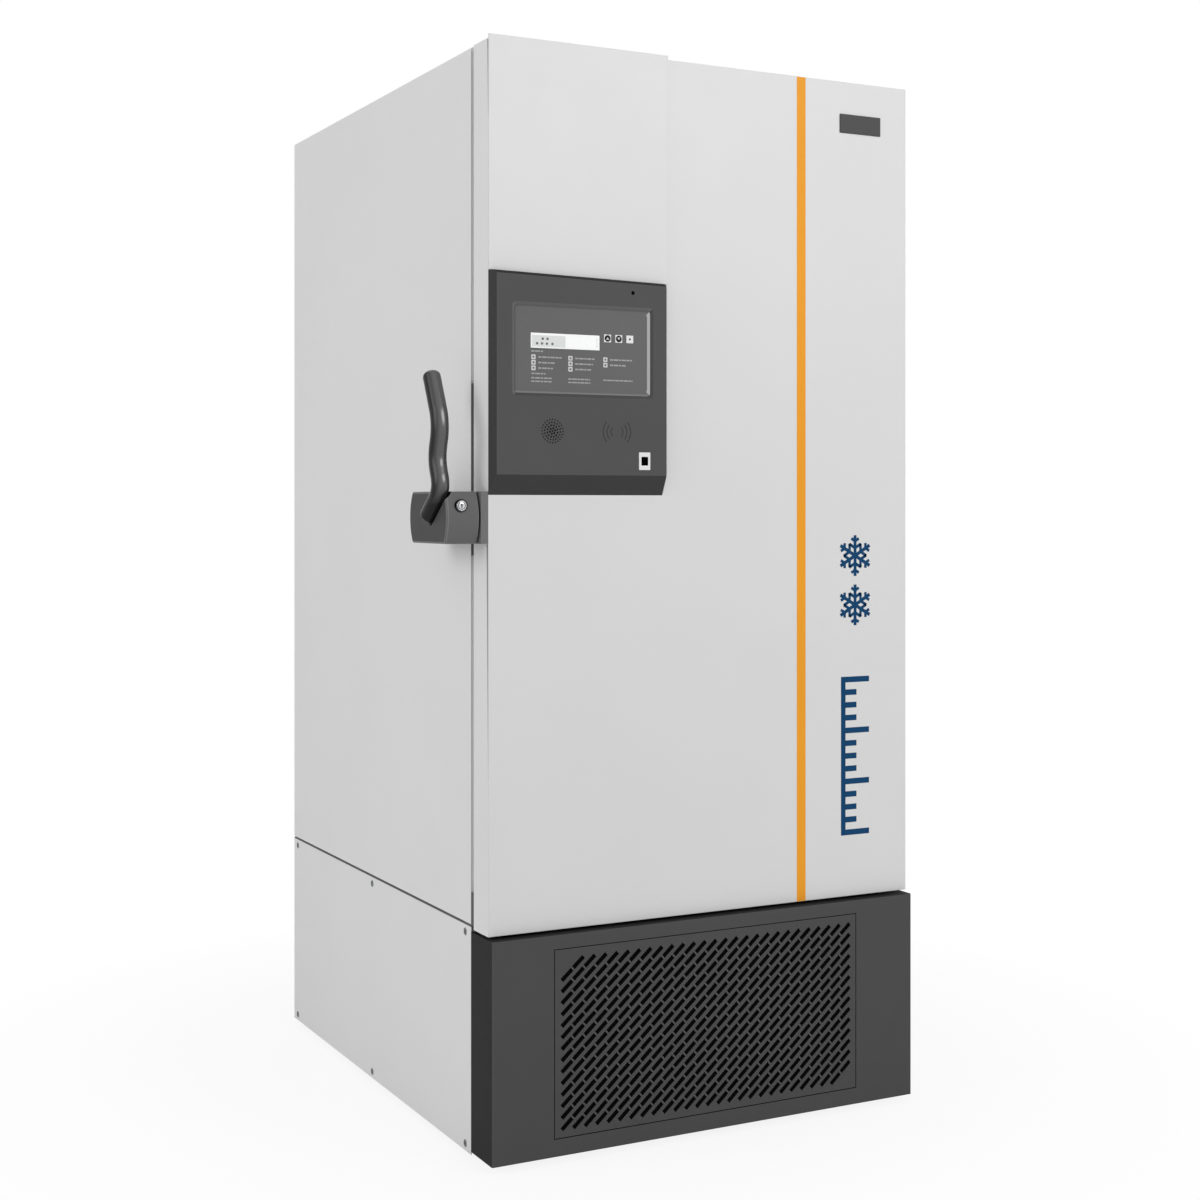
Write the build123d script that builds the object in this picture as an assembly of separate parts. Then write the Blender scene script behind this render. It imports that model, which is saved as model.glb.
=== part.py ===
from build123d import *
import math
import os

os.makedirs("parts", exist_ok=True)

# Upright ultra low temperature freezer, in millimetres. +Z is up, the door faces -Y,
# and +X is to the right of someone who stands in front of it. The origin is on the
# floor, under the middle of the whole outline, handle and hinges included.

# Overall sizes
width = 902.0
cabinet_depth = 1012.0
floor_gap = 15.0
base_height = 394.0
door_height = 1580.0
door_thickness = 64.0
gasket_thickness = 12.0
proud = 17.0
door_gap = 6.0
cabinet_lift = 6.0
side_joint = 3.0
side_panel_drop = 5.0

# Sheet, walls and insulation
sheet = 1.5
fold_radius = 4.0
insulation = 132.5
liner_wall = 2.0
breaker_depth = 8.0
seat_gap = 0.2
overrun = 1.0
slide_gap = 0.5
running_gap = 0.05

# Chamber fittings
shelf_count = 3
shelf_thickness = 2.0
shelf_lip = 16.0
shelf_gap = 2.0
shelf_setback = 8.0
rail_width = 12.0
rail_height = 8.0
inner_door_thickness = 45.0
inner_door_setback = 10.0
inner_door_gap = 3.0
inner_door_corner = 8.0
inner_rod_radius = 4.0
inner_pull_width = 20.0
inner_pull_height = 140.0
inner_pull_depth = 16.0
inner_pull_inset = 14.0
coil_loops = 8
coil_depth = 8.0
coil_height = 12.0
coil_margin = 70.0

# Outer door
door_liner_thickness = 4.0
door_plateau = 6.0
door_plateau_inset = 62.0
door_edge_radius = 4.0
gasket_inset = 6.0
gasket_lift = 46.0
gasket_width = 40.0
gasket_groove = 4.0

# Thin column cover and raised control panel, whose top falls a little to the right
cover_width = 360.5
cover_proud = 3.0
cover_wall = 1.2
cover_rise = 7.0
cover_joint = 1.0
panel_width = 349.5
panel_bevel = 9.0
panel_brow = 5.5
panel_fall = 7.5
panel_rise = 777.0
panel_height = 391.5
panel_chin = 36.0
panel_wall = 3.0
panel_front_wall = 7.5
overlay_inset_left = 43.0
overlay_inset_right = 32.5
overlay_inset_top = 54.5
overlay_inset_bottom = 144.0
overlay_corner = 7.0
overlay_recess = 4.5
overlay_thickness = 1.0
overlay_rim = 4.5
window_inset_left = 33.0
window_inset_right = 104.0
window_inset_bottom = 80.5
window_height = 27.0
key_size = 14.0
key_from_window = 16.0
key_pitch = 22.8
key_lift = 9.0
key_overhang = 1.5
key_gap = 0.3
key_rise = 0.6
key_travel = 0.6
board_thickness = 1.6
board_margin = 14.0
board_clearance = 0.2
boss_size = 8.0
port_inset = 46.5
port_lift = 26.0
port_width = 23.0
port_height = 32.0
port_plate = 1.5
port_body_margin = 2.5
port_body_depth = 12.0
port_slot_width = 13.0
port_slot_height = 15.0
port_slot_depth = 10.0

# Hinges on the right side
hinge_reach = 26.0
hinge_knuckle = 10.0
hinge_pin_radius = 5.0
hinge_leaf = 5.0
hinge_height = 90.0
hinge_leaf_length = 85.0
hinge_arm = 10.0
hinge_leaf_setback = 24.0
hinge_axial_gap = 0.3
hinge_margin = 150.0

# Latch and handle on the left side
latch_rise = 737.0
hub_radius = 88.0
hub_half_height = 46.0
hub_width = 60.5
hub_edge = 3.0
latch_base_thickness = 14.0
latch_base_reach = 34.0
latch_base_lift = 1.5
hub_gap = 4.0
pivot_radius = 14.0
pivot_length = 44.0
cam_notch_start = 31.0
cam_notch_rise = 12.0
cam_notch_depth = 14.0
keeper_pin_radius = 6.0
keeper_pin_reach = 26.0
keeper_offset = 62.0
keeper_plate = 3.0
keeper_height = 60.0
keeper_width = 34.0
strip_width = 5.0
strip_depth = 9.0
strip_above = 240.0
strip_below = 68.0
rod_radius = 16.0
rod_stand_off = 0.5
rod_end_round = 10.0
scoop_radius = 24.0
# Corners of the rod's centre line, forward of the pivot and above it, with their radii
rod_corners = [(66.0, 50.0), (43.0, 103.0), (62.0, 165.0)]
rod_corner_radii = [28.0, 60.0, 70.0]
rod_end = (16.4, 257.2)
lock_radius = 10.0
lock_offset = 21.0
lock_shift = 3.0
lock_depth = 26.0
lock_proud = 2.0
key_slot_width = 2.5
key_slot_length = 11.0
key_slot_depth = 6.0

# Base module
bezel_wall = 3.0
bezel_corner = 4.0
grille_inset_left = 121.5
grille_inset_right = 133.0
grille_sill = 32.0
grille_header = 26.0
grille_thickness = 3.0
grille_skirt = 2.0
grille_collar = 3.0
grille_collar_depth = 14.0
grille_ledge = 8.0
grille_ledge_thickness = 2.0
slot_border = 9.0
slot_pitch_x = 22.7
slot_pitch_z = 20.5
slot_length = 24.5
slot_width = 8.0
slot_angle = 45.0
filter_thickness = 8.0
caster_headroom = 16.0
tray_thickness = 3.0
tray_rim = 20.0
post_size = 40.0
post_thickness = 3.0
rail_setback = 12.0
frame_rail = 30.0
screw_radius = 4.0
screw_head = 1.0
screw_inset = 26.0
screw_drop = 13.0

# Refrigeration
compressor_radius = 85.0
compressor_height = 200.0
compressor_dome = 40.0
compressor_neck = 52.0
compressor_clearance = 54.5
compressor_back = 190.0
compressor_foot = 190.0
compressor_foot_thickness = 4.0
mount_radius = 12.0
mount_height = 14.0
mount_pitch = 150.0
condenser_width = 480.0
condenser_height = 250.0
condenser_depth = 44.0
condenser_setback = 60.0
condenser_header = 14.0
condenser_fin_count = 12
condenser_fin_groove = 6.0
shroud_depth = 50.0
shroud_wall = 2.0
fan_radius = 110.0
fan_tip_gap = 6.0
fan_hub_radius = 28.0
fan_hub_depth = 18.0
fan_blades = 5
fan_blade_chord = 62.0
fan_blade_thickness = 2.5
fan_blade_pitch = 28.0
fan_shaft_radius = 4.0
motor_radius = 34.0
motor_depth = 56.0
motor_arm = 14.0
motor_arm_thickness = 4.0
drier_radius = 24.0
drier_height = 130.0
exchanger_radius = 48.0
exchanger_height = 230.0
pipe_radius = 6.0
pipe_rise = 60.0
box_width = 170.0
box_depth = 150.0
box_height = 230.0
rear_slot_count = 9
rear_slot_spread = 150.0
rear_slot_width = 240.0
rear_slot_height = 8.0
rear_slot_pitch = 22.0
inlet_width = 50.0
inlet_height = 34.0
inlet_depth = 28.0
inlet_flange = 6.0
inlet_flange_thickness = 2.0
inlet_socket_width = 30.0
inlet_socket_height = 20.0
inlet_socket_depth = 20.0
inlet_pin_width = 6.0
inlet_pin_thickness = 2.0
inlet_pin_length = 15.0
inlet_pin_pitch = 9.0

# Casters and levelling feet
wheel_radius = 36.0
wheel_width = 26.0
axle_radius = 6.0
fork_wall = 4.0
fork_gap = 1.0
fork_crown = 4.0
caster_trail = 24.0
stem_radius = 9.0
caster_plate = 4.0
caster_plate_size = 80.0
caster_side = 160.0
caster_front = 100.0
caster_rear = 100.0
jack_gap = 0.5
foot_radius = 24.0
foot_height = 10.0
foot_stud_radius = 7.0
foot_side = 62.0
foot_front = 40.0

# Places worked out from the sizes
handle_reach = latch_base_thickness + hub_gap + hub_width + rod_stand_off + rod_radius
front_reach = gasket_thickness + door_thickness + proud
cabinet_x = (handle_reach - hinge_reach) / 2
cabinet_y = front_reach / 2
left = cabinet_x - width / 2
right = cabinet_x + width / 2
front = cabinet_y - cabinet_depth / 2
back = cabinet_y + cabinet_depth / 2
door_back = front - gasket_thickness
door_front = door_back - door_thickness
proud_front = door_front - proud
bezel_bottom = floor_gap
bezel_top = bezel_bottom + base_height
door_bottom = bezel_top + door_gap
door_top = door_bottom + door_height
cabinet_bottom = door_bottom + cabinet_lift
cabinet_top = door_top
side_panel_bottom = bezel_bottom - side_panel_drop
side_panel_top = cabinet_bottom - side_joint
wall_stack = sheet + insulation + liner_wall
in_left = left + wall_stack
in_right = right - wall_stack
in_back = back - wall_stack
in_bottom = cabinet_bottom + wall_stack
in_top = cabinet_top - wall_stack
in_front = front + breaker_depth
chamber_front = front + inner_door_setback + inner_door_thickness + shelf_setback
shelf_levels = [
    in_bottom + (i + 1) * (in_top - in_bottom) / (shelf_count + 1)
    for i in range(shelf_count)
]
hinge_x = right + hinge_reach - hinge_knuckle
hinge_y = (front + door_back) / 2
hinge_levels = [door_bottom + hinge_margin, door_top - hinge_margin]
latch_y = door_front + hub_radius
latch_level = door_bottom + latch_rise
hub_inner = left - latch_base_thickness - hub_gap
hub_outer = hub_inner - hub_width
tray_level = 2 * wheel_radius + caster_headroom
tray_top = tray_level + tray_thickness
fan_z = tray_top + condenser_height / 2
compressor_y = back - compressor_back
overlay_floor = proud_front + overlay_recess
overlay_face = overlay_floor - overlay_thickness
key_back = proud_front + panel_front_wall + key_overhang
board_front = key_back + key_travel + board_clearance
panel_foot = door_bottom + panel_rise
panel_face_bottom = panel_foot + panel_chin
panel_top = panel_foot + panel_height
overlay_x0 = left + overlay_inset_left
overlay_x1 = left + panel_width - overlay_inset_right
overlay_z0 = panel_face_bottom + overlay_inset_bottom
overlay_z1 = panel_top - overlay_inset_top
window_x0 = overlay_x0 + window_inset_left
window_x1 = overlay_x1 - window_inset_right
window_z0 = overlay_z0 + window_inset_bottom
window_z1 = window_z0 + window_height
key_level = (window_z0 + window_z1) / 2 + key_lift
port_x = left + panel_width - port_inset
port_level = panel_face_bottom + port_lift
lock_x = (hub_inner + hub_outer) / 2 - lock_shift
lock_z = latch_level + lock_offset
grille_x0 = left + grille_inset_left
grille_x1 = right - grille_inset_right
grille_z0 = bezel_bottom + grille_sill
grille_z1 = bezel_top - grille_header
inner_x0 = in_left + inner_door_gap
inner_x1 = in_right - inner_door_gap
inner_y0 = front + inner_door_setback
inner_y1 = inner_y0 + inner_door_thickness
inner_axis_x = inner_x1 - inner_door_corner
inner_axis_y = inner_y0 + inner_door_corner
condenser_y0 = front + condenser_setback
condenser_y1 = condenser_y0 + condenser_depth
fan_y = condenser_y1 + shroud_depth / 2
drier_x = cabinet_x - compressor_foot / 2
drier_y = compressor_y - compressor_foot / 2 - 2 * drier_radius
exchanger_x = left + sheet + post_size + exchanger_radius
exchanger_y = condenser_y1 + 2 * exchanger_radius + shroud_depth


def slab(x0, x1, y0, y1, z0, z1):
    """A block between two corners."""
    middle = Pos((x0 + x1) / 2, (y0 + y1) / 2, (z0 + z1) / 2)
    return middle * Box(x1 - x0, y1 - y0, z1 - z0)


def rod_x(x0, x1, y, z, radius):
    """A round bar along X."""
    return Pos((x0 + x1) / 2, y, z) * Rot(0, 90, 0) * Cylinder(radius, x1 - x0)


def rod_y(x, y0, y1, z, radius):
    """A round bar along Y."""
    return Pos(x, (y0 + y1) / 2, z) * Rot(90, 0, 0) * Cylinder(radius, y1 - y0)


def rod_z(x, y, z0, z1, radius):
    """A round bar along Z."""
    return Pos(x, y, (z0 + z1) / 2) * Cylinder(radius, z1 - z0)


def prism_x(sketch, x0, x1):
    """A sketch in Y and Z, drawn out along X."""
    plane = Plane(origin=(x0, 0, 0), x_dir=(0, 1, 0), z_dir=(1, 0, 0))
    return extrude(plane * sketch, amount=x1 - x0)


def prism_y(sketch, y0, y1):
    """A sketch in X and Z, drawn out along Y."""
    plane = Plane(origin=(0, y1, 0), x_dir=(1, 0, 0), z_dir=(0, -1, 0))
    return extrude(plane * sketch, amount=y1 - y0)


def prism_z(sketch, z0, z1):
    """A sketch in X and Y, drawn out along Z."""
    return extrude(Plane.XY.offset(z0) * sketch, amount=z1 - z0)


def rounded(x0, x1, z0, z1, radius):
    """A rectangle with round corners between two corners of a plane."""
    return Pos((x0 + x1) / 2, (z0 + z1) / 2) * RectangleRounded(x1 - x0, z1 - z0, radius)


def save(node, *shapes):
    """Write a node, one solid or a group of separate solids."""
    solids = [solid for shape in shapes for solid in shape.solids()]
    whole = solids[0] if len(solids) == 1 else Compound(solids)
    export_step(whole, f"parts/{node}.step")


# Foamed cabinet
def cabinet_section(gap):
    """The cabinet's inside outline, less a gap, as a sketch in X and Z."""
    inset = sheet + gap
    return rounded(
        left + inset,
        right - inset,
        cabinet_bottom + inset,
        cabinet_top - inset,
        fold_radius - sheet,
    )


def outer_cabinet():
    outside = rounded(left, right, cabinet_bottom, cabinet_top, fold_radius)
    return prism_y(outside - cabinet_section(0), front, back)


def rear_panel():
    return prism_y(cabinet_section(seat_gap), back - sheet, back)


def breaker_frame():
    chamber = slab(in_left, in_right, front - overrun, in_front + overrun, in_bottom, in_top)
    return prism_y(cabinet_section(seat_gap), front, in_front) - chamber


def liner_block():
    return slab(
        in_left - liner_wall,
        in_right + liner_wall,
        in_front,
        in_back + liner_wall,
        in_bottom - liner_wall,
        in_top + liner_wall,
    )


def inner_liner():
    chamber = slab(in_left, in_right, in_front - overrun, in_back, in_bottom, in_top)
    liner = liner_block() - chamber
    for level in shelf_levels:
        low = level - shelf_thickness - rail_height
        high = level - shelf_thickness
        liner += slab(in_left, in_left + rail_width, chamber_front, in_back, low, high)
        liner += slab(in_right - rail_width, in_right, chamber_front, in_back, low, high)
    return liner


def evaporator_coil():
    x0 = in_left - liner_wall
    x1 = in_right + liner_wall
    y0 = front + coil_margin
    y1 = in_back + liner_wall
    pitch = (in_top - in_bottom - 2 * coil_margin) / (coil_loops - 1)
    coil = None
    for i in range(coil_loops):
        z = in_bottom + coil_margin + i * pitch
        z0 = z - coil_height / 2
        z1 = z + coil_height / 2
        loop = slab(x0 - coil_depth, x1 + coil_depth, y0, y1 + coil_depth, z0, z1)
        loop -= slab(x0, x1, y0 - overrun, y1, z0 - overrun, z1 + overrun)
        coil = loop if coil is None else coil + loop
        if i < coil_loops - 1:
            edge = x0 - coil_depth if i % 2 == 0 else x1
            coil += slab(edge, edge + coil_depth, y0, y0 + coil_height, z0, z1 + pitch)
    return coil


def cabinet_insulation(coil):
    block = prism_y(cabinet_section(seat_gap), in_front, back - sheet)
    return block - liner_block() - coil


def shelf(level):
    x0 = in_left + shelf_gap
    x1 = in_right - shelf_gap
    y1 = in_back - shelf_gap
    plate = slab(x0, x1, chamber_front, y1, level - shelf_thickness, level)
    lip = slab(
        x0 + rail_width,
        x1 - rail_width,
        chamber_front,
        chamber_front + shelf_thickness,
        level - shelf_lip,
        level,
    )
    return plate + lip


# Inner doors, which hang on one upright rod at the right of the chamber
def inner_door(z0, z1):
    middle = Pos((inner_x0 + inner_x1) / 2, (inner_y0 + inner_y1) / 2)
    outline = middle * Rectangle(inner_x1 - inner_x0, inner_door_thickness)
    corner = outline.vertices().sort_by(Axis.X)[-2:].sort_by(Axis.Y)[0]
    outline = fillet(corner, inner_door_corner)
    door = prism_z(outline, z0, z1)
    bore = inner_rod_radius + running_gap
    door -= rod_z(inner_axis_x, inner_axis_y, z0 - overrun, z1 + overrun, bore)
    pull_x = inner_x0 + inner_pull_inset
    middle_z = (z0 + z1) / 2
    door -= slab(
        pull_x,
        pull_x + inner_pull_width,
        inner_y0 - overrun,
        inner_y0 + inner_pull_depth,
        middle_z - inner_pull_height / 2,
        middle_z + inner_pull_height / 2,
    )
    return door


def inner_hinge_rod():
    return rod_z(inner_axis_x, inner_axis_y, in_bottom, in_top, inner_rod_radius)


# Outer door
def door_shell():
    x_mid = (left + right) / 2
    y1 = door_back - door_liner_thickness
    outline = Pos(x_mid, (door_front + y1) / 2) * Rectangle(width, y1 - door_front)
    corner = outline.vertices().sort_by(Axis.X)[-2:].sort_by(Axis.Y)[0]
    outline = fillet(corner, door_edge_radius)
    shell = prism_z(outline, door_bottom, door_top)
    return shell - door_foam_block()


def door_foam_block():
    x_mid = (left + right) / 2
    y0 = door_front + sheet
    y1 = door_back - door_liner_thickness
    outline = Pos(x_mid, (y0 + y1) / 2) * Rectangle(width - 2 * sheet, y1 - y0)
    corner = outline.vertices().sort_by(Axis.X)[-2:].sort_by(Axis.Y)[0]
    outline = fillet(corner, door_edge_radius)
    return prism_z(outline, door_bottom + sheet, door_top - sheet)


def door_liner():
    y0 = door_back - door_liner_thickness
    plate = slab(left, right, y0, door_back, door_bottom, door_top)
    inset = door_plateau_inset
    plateau = slab(
        left + inset,
        right - inset,
        door_back,
        door_back + door_plateau,
        door_bottom + gasket_lift + inset,
        door_top - inset,
    )
    return plate + plateau


def door_gasket():
    def ring(inset, y0, y1):
        return slab(
            left + inset,
            right - inset,
            y0,
            y1,
            door_bottom + gasket_lift + inset,
            door_top - inset,
        )

    groove_y = door_back + gasket_thickness / 3
    seal = ring(gasket_inset, door_back, front)
    seal -= ring(gasket_inset + gasket_width, door_back - overrun, front + overrun)
    waist = ring(gasket_inset - overrun, groove_y, groove_y + gasket_groove)
    waist -= ring(gasket_inset + gasket_groove, groove_y - overrun, front)
    return seal - waist


# Column cover and control panel on the door's left edge
def along_panel_top(shape, lift):
    """Place a shape by the line where the panel's falling top meets the door."""
    tilt = math.degrees(math.atan(panel_fall / panel_width))
    return Pos(left + panel_width / 2, door_front, panel_top + lift) * Rot(0, tilt, 0) * shape


def cover_block(inset, y0, z1):
    """The cover's outline, drawn in by a wall, down to just above the panel."""
    plate = slab(left + inset, left + cover_width - inset, y0, door_front, panel_foot, z1)
    below = slab(-width, width, -proud, overrun, -2 * panel_height, 0)
    return plate - along_panel_top(below, cover_joint + inset)


def column_cover():
    y0 = door_front - cover_proud
    hollow = cover_block(cover_wall, y0 + cover_wall, door_top - cover_wall)
    return cover_block(0, y0, door_top + cover_rise) - hollow


def panel_block(inset, y0):
    """The control housing's outline, drawn in by a wall: left bevel, falling top, sloping foot."""
    slope = panel_bevel / proud
    depth = door_front - y0
    outline = make_face(
        Polyline(
            (left + inset, door_front),
            (left + inset + slope * depth, y0),
            (left + panel_width - inset, y0),
            (left + panel_width - inset, door_front),
            close=True,
        )
    )
    rise = panel_face_bottom - panel_foot
    foot = panel_foot + inset
    block = prism_z(outline, foot, panel_top + panel_fall)
    wedge = make_face(
        Polyline(
            (door_front, foot),
            (door_front - 2 * proud, foot + 2 * rise),
            (door_front - 2 * proud, foot - overrun),
            (door_front, foot - overrun),
            close=True,
        )
    )
    block -= prism_x(wedge, left - overrun, left + panel_width + overrun)
    above = make_face(
        Polyline(
            (overrun, 0),
            (panel_brow - proud, 0),
            (-2 * proud, -panel_brow - proud),
            (-2 * proud, panel_height),
            (overrun, panel_height),
            close=True,
        )
    )
    return block - along_panel_top(prism_x(above, -width, width), -inset)


def overlay_outline(gap):
    return rounded(
        overlay_x0 + gap,
        overlay_x1 - gap,
        overlay_z0 + gap,
        overlay_z1 - gap,
        overlay_corner,
    )


def overlay_slope():
    """The sloping rim round the overlay's recess."""
    wide = Plane.XZ.offset(-proud_front) * overlay_outline(-overlay_rim)
    narrow = Plane.XZ.offset(-overlay_face) * overlay_outline(0)
    return loft([wide, narrow])


def window_block(gap):
    return slab(
        window_x0 + gap,
        window_x1 - gap,
        overlay_face,
        overlay_floor,
        window_z0 + gap,
        window_z1 - gap,
    )


def key_outline(index, gap):
    x = window_x1 + key_from_window + index * key_pitch
    half = key_size / 2 + gap
    return Pos(x, key_level) * Rectangle(2 * half, 2 * half)


def port_body(gap):
    half_width = port_width / 2 - port_body_margin + gap
    half_height = port_height / 2 - port_body_margin + gap
    return slab(
        port_x - half_width,
        port_x + half_width,
        proud_front,
        proud_front + port_body_depth,
        port_level - half_height,
        port_level + half_height,
    )


def control_housing():
    housing = panel_block(0, proud_front)
    housing -= panel_block(panel_wall, proud_front + panel_front_wall)
    housing -= prism_y(overlay_outline(0), proud_front - overrun, overlay_floor)
    housing -= overlay_slope()
    wall_back = proud_front + panel_front_wall
    for index in range(3):
        housing -= prism_y(key_outline(index, key_gap), proud_front - overrun, wall_back + overrun)
    housing -= port_body(seat_gap)
    for x, z in board_corners():
        half = boss_size / 2
        housing += slab(x - half, x + half, wall_back, board_front, z - half, z + half)
    return housing


def board_corners():
    xs = (overlay_x0 + board_margin, overlay_x1 - board_margin)
    zs = (overlay_z0 + board_margin, overlay_z1 - board_margin)
    return [(x, z) for x in xs for z in zs]


def control_board():
    corners = board_corners()
    half = boss_size / 2
    return slab(
        corners[0][0] - half,
        corners[-1][0] + half,
        board_front,
        board_front + board_thickness,
        corners[0][1] - half,
        corners[-1][1] + half,
    )


def control_overlay():
    overlay = prism_y(overlay_outline(seat_gap), overlay_face, overlay_floor)
    overlay -= window_block(0)
    for index in range(3):
        hole = key_outline(index, key_gap)
        overlay -= prism_y(hole, overlay_face - overrun, overlay_floor + overrun)
    return overlay


def panel_key(index):
    return prism_y(key_outline(index, 0), overlay_face - key_rise, key_back)


def service_port():
    plate = slab(
        port_x - port_width / 2,
        port_x + port_width / 2,
        proud_front - port_plate,
        proud_front,
        port_level - port_height / 2,
        port_level + port_height / 2,
    )
    slot = slab(
        port_x - port_slot_width / 2,
        port_x + port_slot_width / 2,
        proud_front - port_plate - overrun,
        proud_front - port_plate + port_slot_depth,
        port_level - port_slot_height / 2,
        port_level + port_slot_height / 2,
    )
    return plate + port_body(0) - slot


# Hinges
def hinge_bracket(level):
    z0 = level - hinge_height / 2
    leaf = slab(right, right + hinge_leaf, front, front + hinge_leaf_length, z0, level)
    arm = slab(right, hinge_x, front, front + hinge_arm, z0, level)
    knuckle = rod_z(hinge_x, hinge_y, z0, level, hinge_knuckle)
    bore = rod_z(hinge_x, hinge_y, z0 - overrun, level + overrun, hinge_pin_radius + running_gap)
    return leaf + arm + knuckle - bore


def hinge_leaf_on_door(level):
    z0 = level + hinge_axial_gap
    z1 = level + hinge_height / 2
    y0 = door_front + hinge_leaf_setback
    leaf = slab(right, right + hinge_leaf, y0, door_back, z0, z1)
    arm = slab(right, hinge_x, door_back - hinge_arm, door_back, z0, z1)
    knuckle = rod_z(hinge_x, hinge_y, z0, z1, hinge_knuckle)
    bore = rod_z(hinge_x, hinge_y, z0 - overrun, z1 + overrun, hinge_pin_radius + running_gap)
    return leaf + arm + knuckle - bore


def hinge_pin(level):
    return rod_z(
        hinge_x,
        hinge_y,
        level - hinge_height / 2,
        level + hinge_height / 2,
        hinge_pin_radius,
    )


# Latch and handle
def hub_outline():
    """A disc with flats above and below, as a sketch in Y and Z."""
    disc = Circle(hub_radius) & Rectangle(3 * hub_radius, 2 * hub_half_height)
    return Pos(latch_y, latch_level) * disc


def latch_base():
    """A plate on the door's side that reaches over the cabinet, with the handle's pivot."""
    x0 = left - latch_base_thickness
    over_cabinet = latch_y + latch_base_reach
    low = latch_level - hub_half_height
    high = latch_level + hub_half_height
    plate = slab(x0, left, door_front, over_cabinet, low, high)
    plate -= slab(
        left - latch_base_lift,
        left + overrun,
        door_back - seat_gap,
        over_cabinet + overrun,
        low - overrun,
        high + overrun,
    )
    return plate + rod_x(x0 - pivot_length, x0, latch_y, latch_level, pivot_radius)


def rod_path():
    """The handle's centre line: out of the hub's middle, then a gentle S upward."""
    x = hub_outer - rod_stand_off
    places = [(0, 0), *rod_corners, rod_end]
    points = [(x, latch_y - forward, latch_level + rise) for forward, rise in places]
    return FilletPolyline(*points, radius=rod_corner_radii)


def swept(path, radius, transition=Transition.TRANSFORMED):
    section = Plane(origin=path @ 0, z_dir=path % 0) * Circle(radius)
    return sweep(section, path=path, transition=transition)


def handle_rod():
    rod = swept(rod_path(), rod_radius)
    ends = rod.faces().sort_by(Axis.Z)
    return fillet(ends[0].edges() + ends[-1].edges(), rod_end_round)


def rod_scoop():
    """A half-round groove, wider than the rod, whose bottom the rod lies on."""
    depth = rod_radius - rod_stand_off + seat_gap
    x = hub_outer + depth - scoop_radius
    forward, rise = rod_corners[0]
    start = Vector(x, latch_y, latch_level)
    along = Vector(0, -forward, rise)
    mouth = Plane(origin=start, z_dir=along) * Circle(scoop_radius)
    return extrude(mouth, amount=2 * hub_radius)


def handle_hub():
    hub = prism_x(hub_outline(), hub_outer, hub_inner)
    rim = hub.edges().group_by(Axis.X)[0]
    hub = chamfer(rim, hub_edge)
    hub -= rod_scoop()
    x1 = left - latch_base_thickness
    pivot_end = x1 - pivot_length - overrun
    hub -= rod_x(pivot_end, x1, latch_y, latch_level, pivot_radius + running_gap)
    hub -= slab(
        hub_inner - cam_notch_depth,
        hub_inner + overrun,
        latch_y + cam_notch_start,
        latch_y + 2 * hub_radius,
        latch_level - hub_radius,
        latch_level + cam_notch_rise,
    )
    hub -= rod_y(
        lock_x,
        door_front - overrun,
        door_front + lock_depth,
        lock_z,
        lock_radius + running_gap,
    )
    return hub


def lock_cylinder():
    y0 = door_front - lock_proud
    barrel = rod_y(lock_x, y0, door_front + lock_depth, lock_z, lock_radius)
    return barrel - slab(
        lock_x - key_slot_width / 2,
        lock_x + key_slot_width / 2,
        y0 - overrun,
        y0 + key_slot_depth,
        lock_z - key_slot_length / 2,
        lock_z + key_slot_length / 2,
    )


def latch_keeper():
    y = latch_y + keeper_offset
    plate = slab(
        left - keeper_plate,
        left,
        y - keeper_width / 2,
        y + keeper_width / 2,
        latch_level - keeper_height / 2,
        latch_level + keeper_height / 2,
    )
    return plate + rod_x(left - keeper_pin_reach, left, y, latch_level, keeper_pin_radius)


def latch_strip():
    """A dark wear strip on the cabinet's front edge, outside the gasket."""
    return slab(
        left,
        left + strip_width,
        front - strip_depth,
        front,
        latch_level - strip_below,
        latch_level + strip_above,
    )


# Base module
def grille_block(margin, y0, y1):
    """The grille's opening, grown by a margin."""
    return slab(
        grille_x0 - margin,
        grille_x1 + margin,
        y0,
        y1,
        grille_z0 - margin,
        grille_z1 + margin,
    )


def base_bezel():
    outline = Pos((left + right) / 2, (proud_front + front) / 2) * Rectangle(width, front_reach)
    corners = outline.vertices().sort_by(Axis.Y)[:2]
    outline = fillet(corners, bezel_corner)
    inside = Pos((left + right) / 2, (proud_front + front) / 2) * Rectangle(
        width - 2 * bezel_wall, front_reach
    )
    inside = Pos(0, bezel_wall) * inside
    inner_corners = inside.vertices().sort_by(Axis.Y)[:2]
    inside = fillet(inner_corners, bezel_corner - bezel_wall)
    bezel = prism_z(outline, bezel_bottom, bezel_top)
    bezel -= prism_z(inside, bezel_bottom - overrun, bezel_top - bezel_wall)
    collar_end = proud_front + grille_collar_depth
    ledge_end = collar_end + grille_ledge_thickness
    bezel += grille_block(grille_collar, proud_front + overrun, ledge_end)
    bezel -= grille_block(0, proud_front - overrun, collar_end)
    bezel -= grille_block(-grille_ledge, proud_front - overrun, ledge_end + overrun)
    return bezel


def slot_places():
    """Centres of the slanting slots. Two opposite corners have none."""
    x_mid = (grille_x0 + grille_x1) / 2
    z_mid = (grille_z0 + grille_z1) / 2
    slot_columns = int((grille_x1 - grille_x0 - 2 * slot_border) / slot_pitch_x)
    slot_rows = int((grille_z1 - grille_z0 - 2 * slot_border) / slot_pitch_z)
    places = []
    for row in range(slot_rows):
        for column in range(slot_columns):
            top_left = row == slot_rows - 1 and column == 0
            bottom_right = row == 0 and column == slot_columns - 1
            if top_left or bottom_right:
                continue
            x = x_mid + (column - (slot_columns - 1) / 2) * slot_pitch_x
            z = z_mid + (row - (slot_rows - 1) / 2) * slot_pitch_z
            places.append(Location((x, z), slot_angle))
    return places


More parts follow.
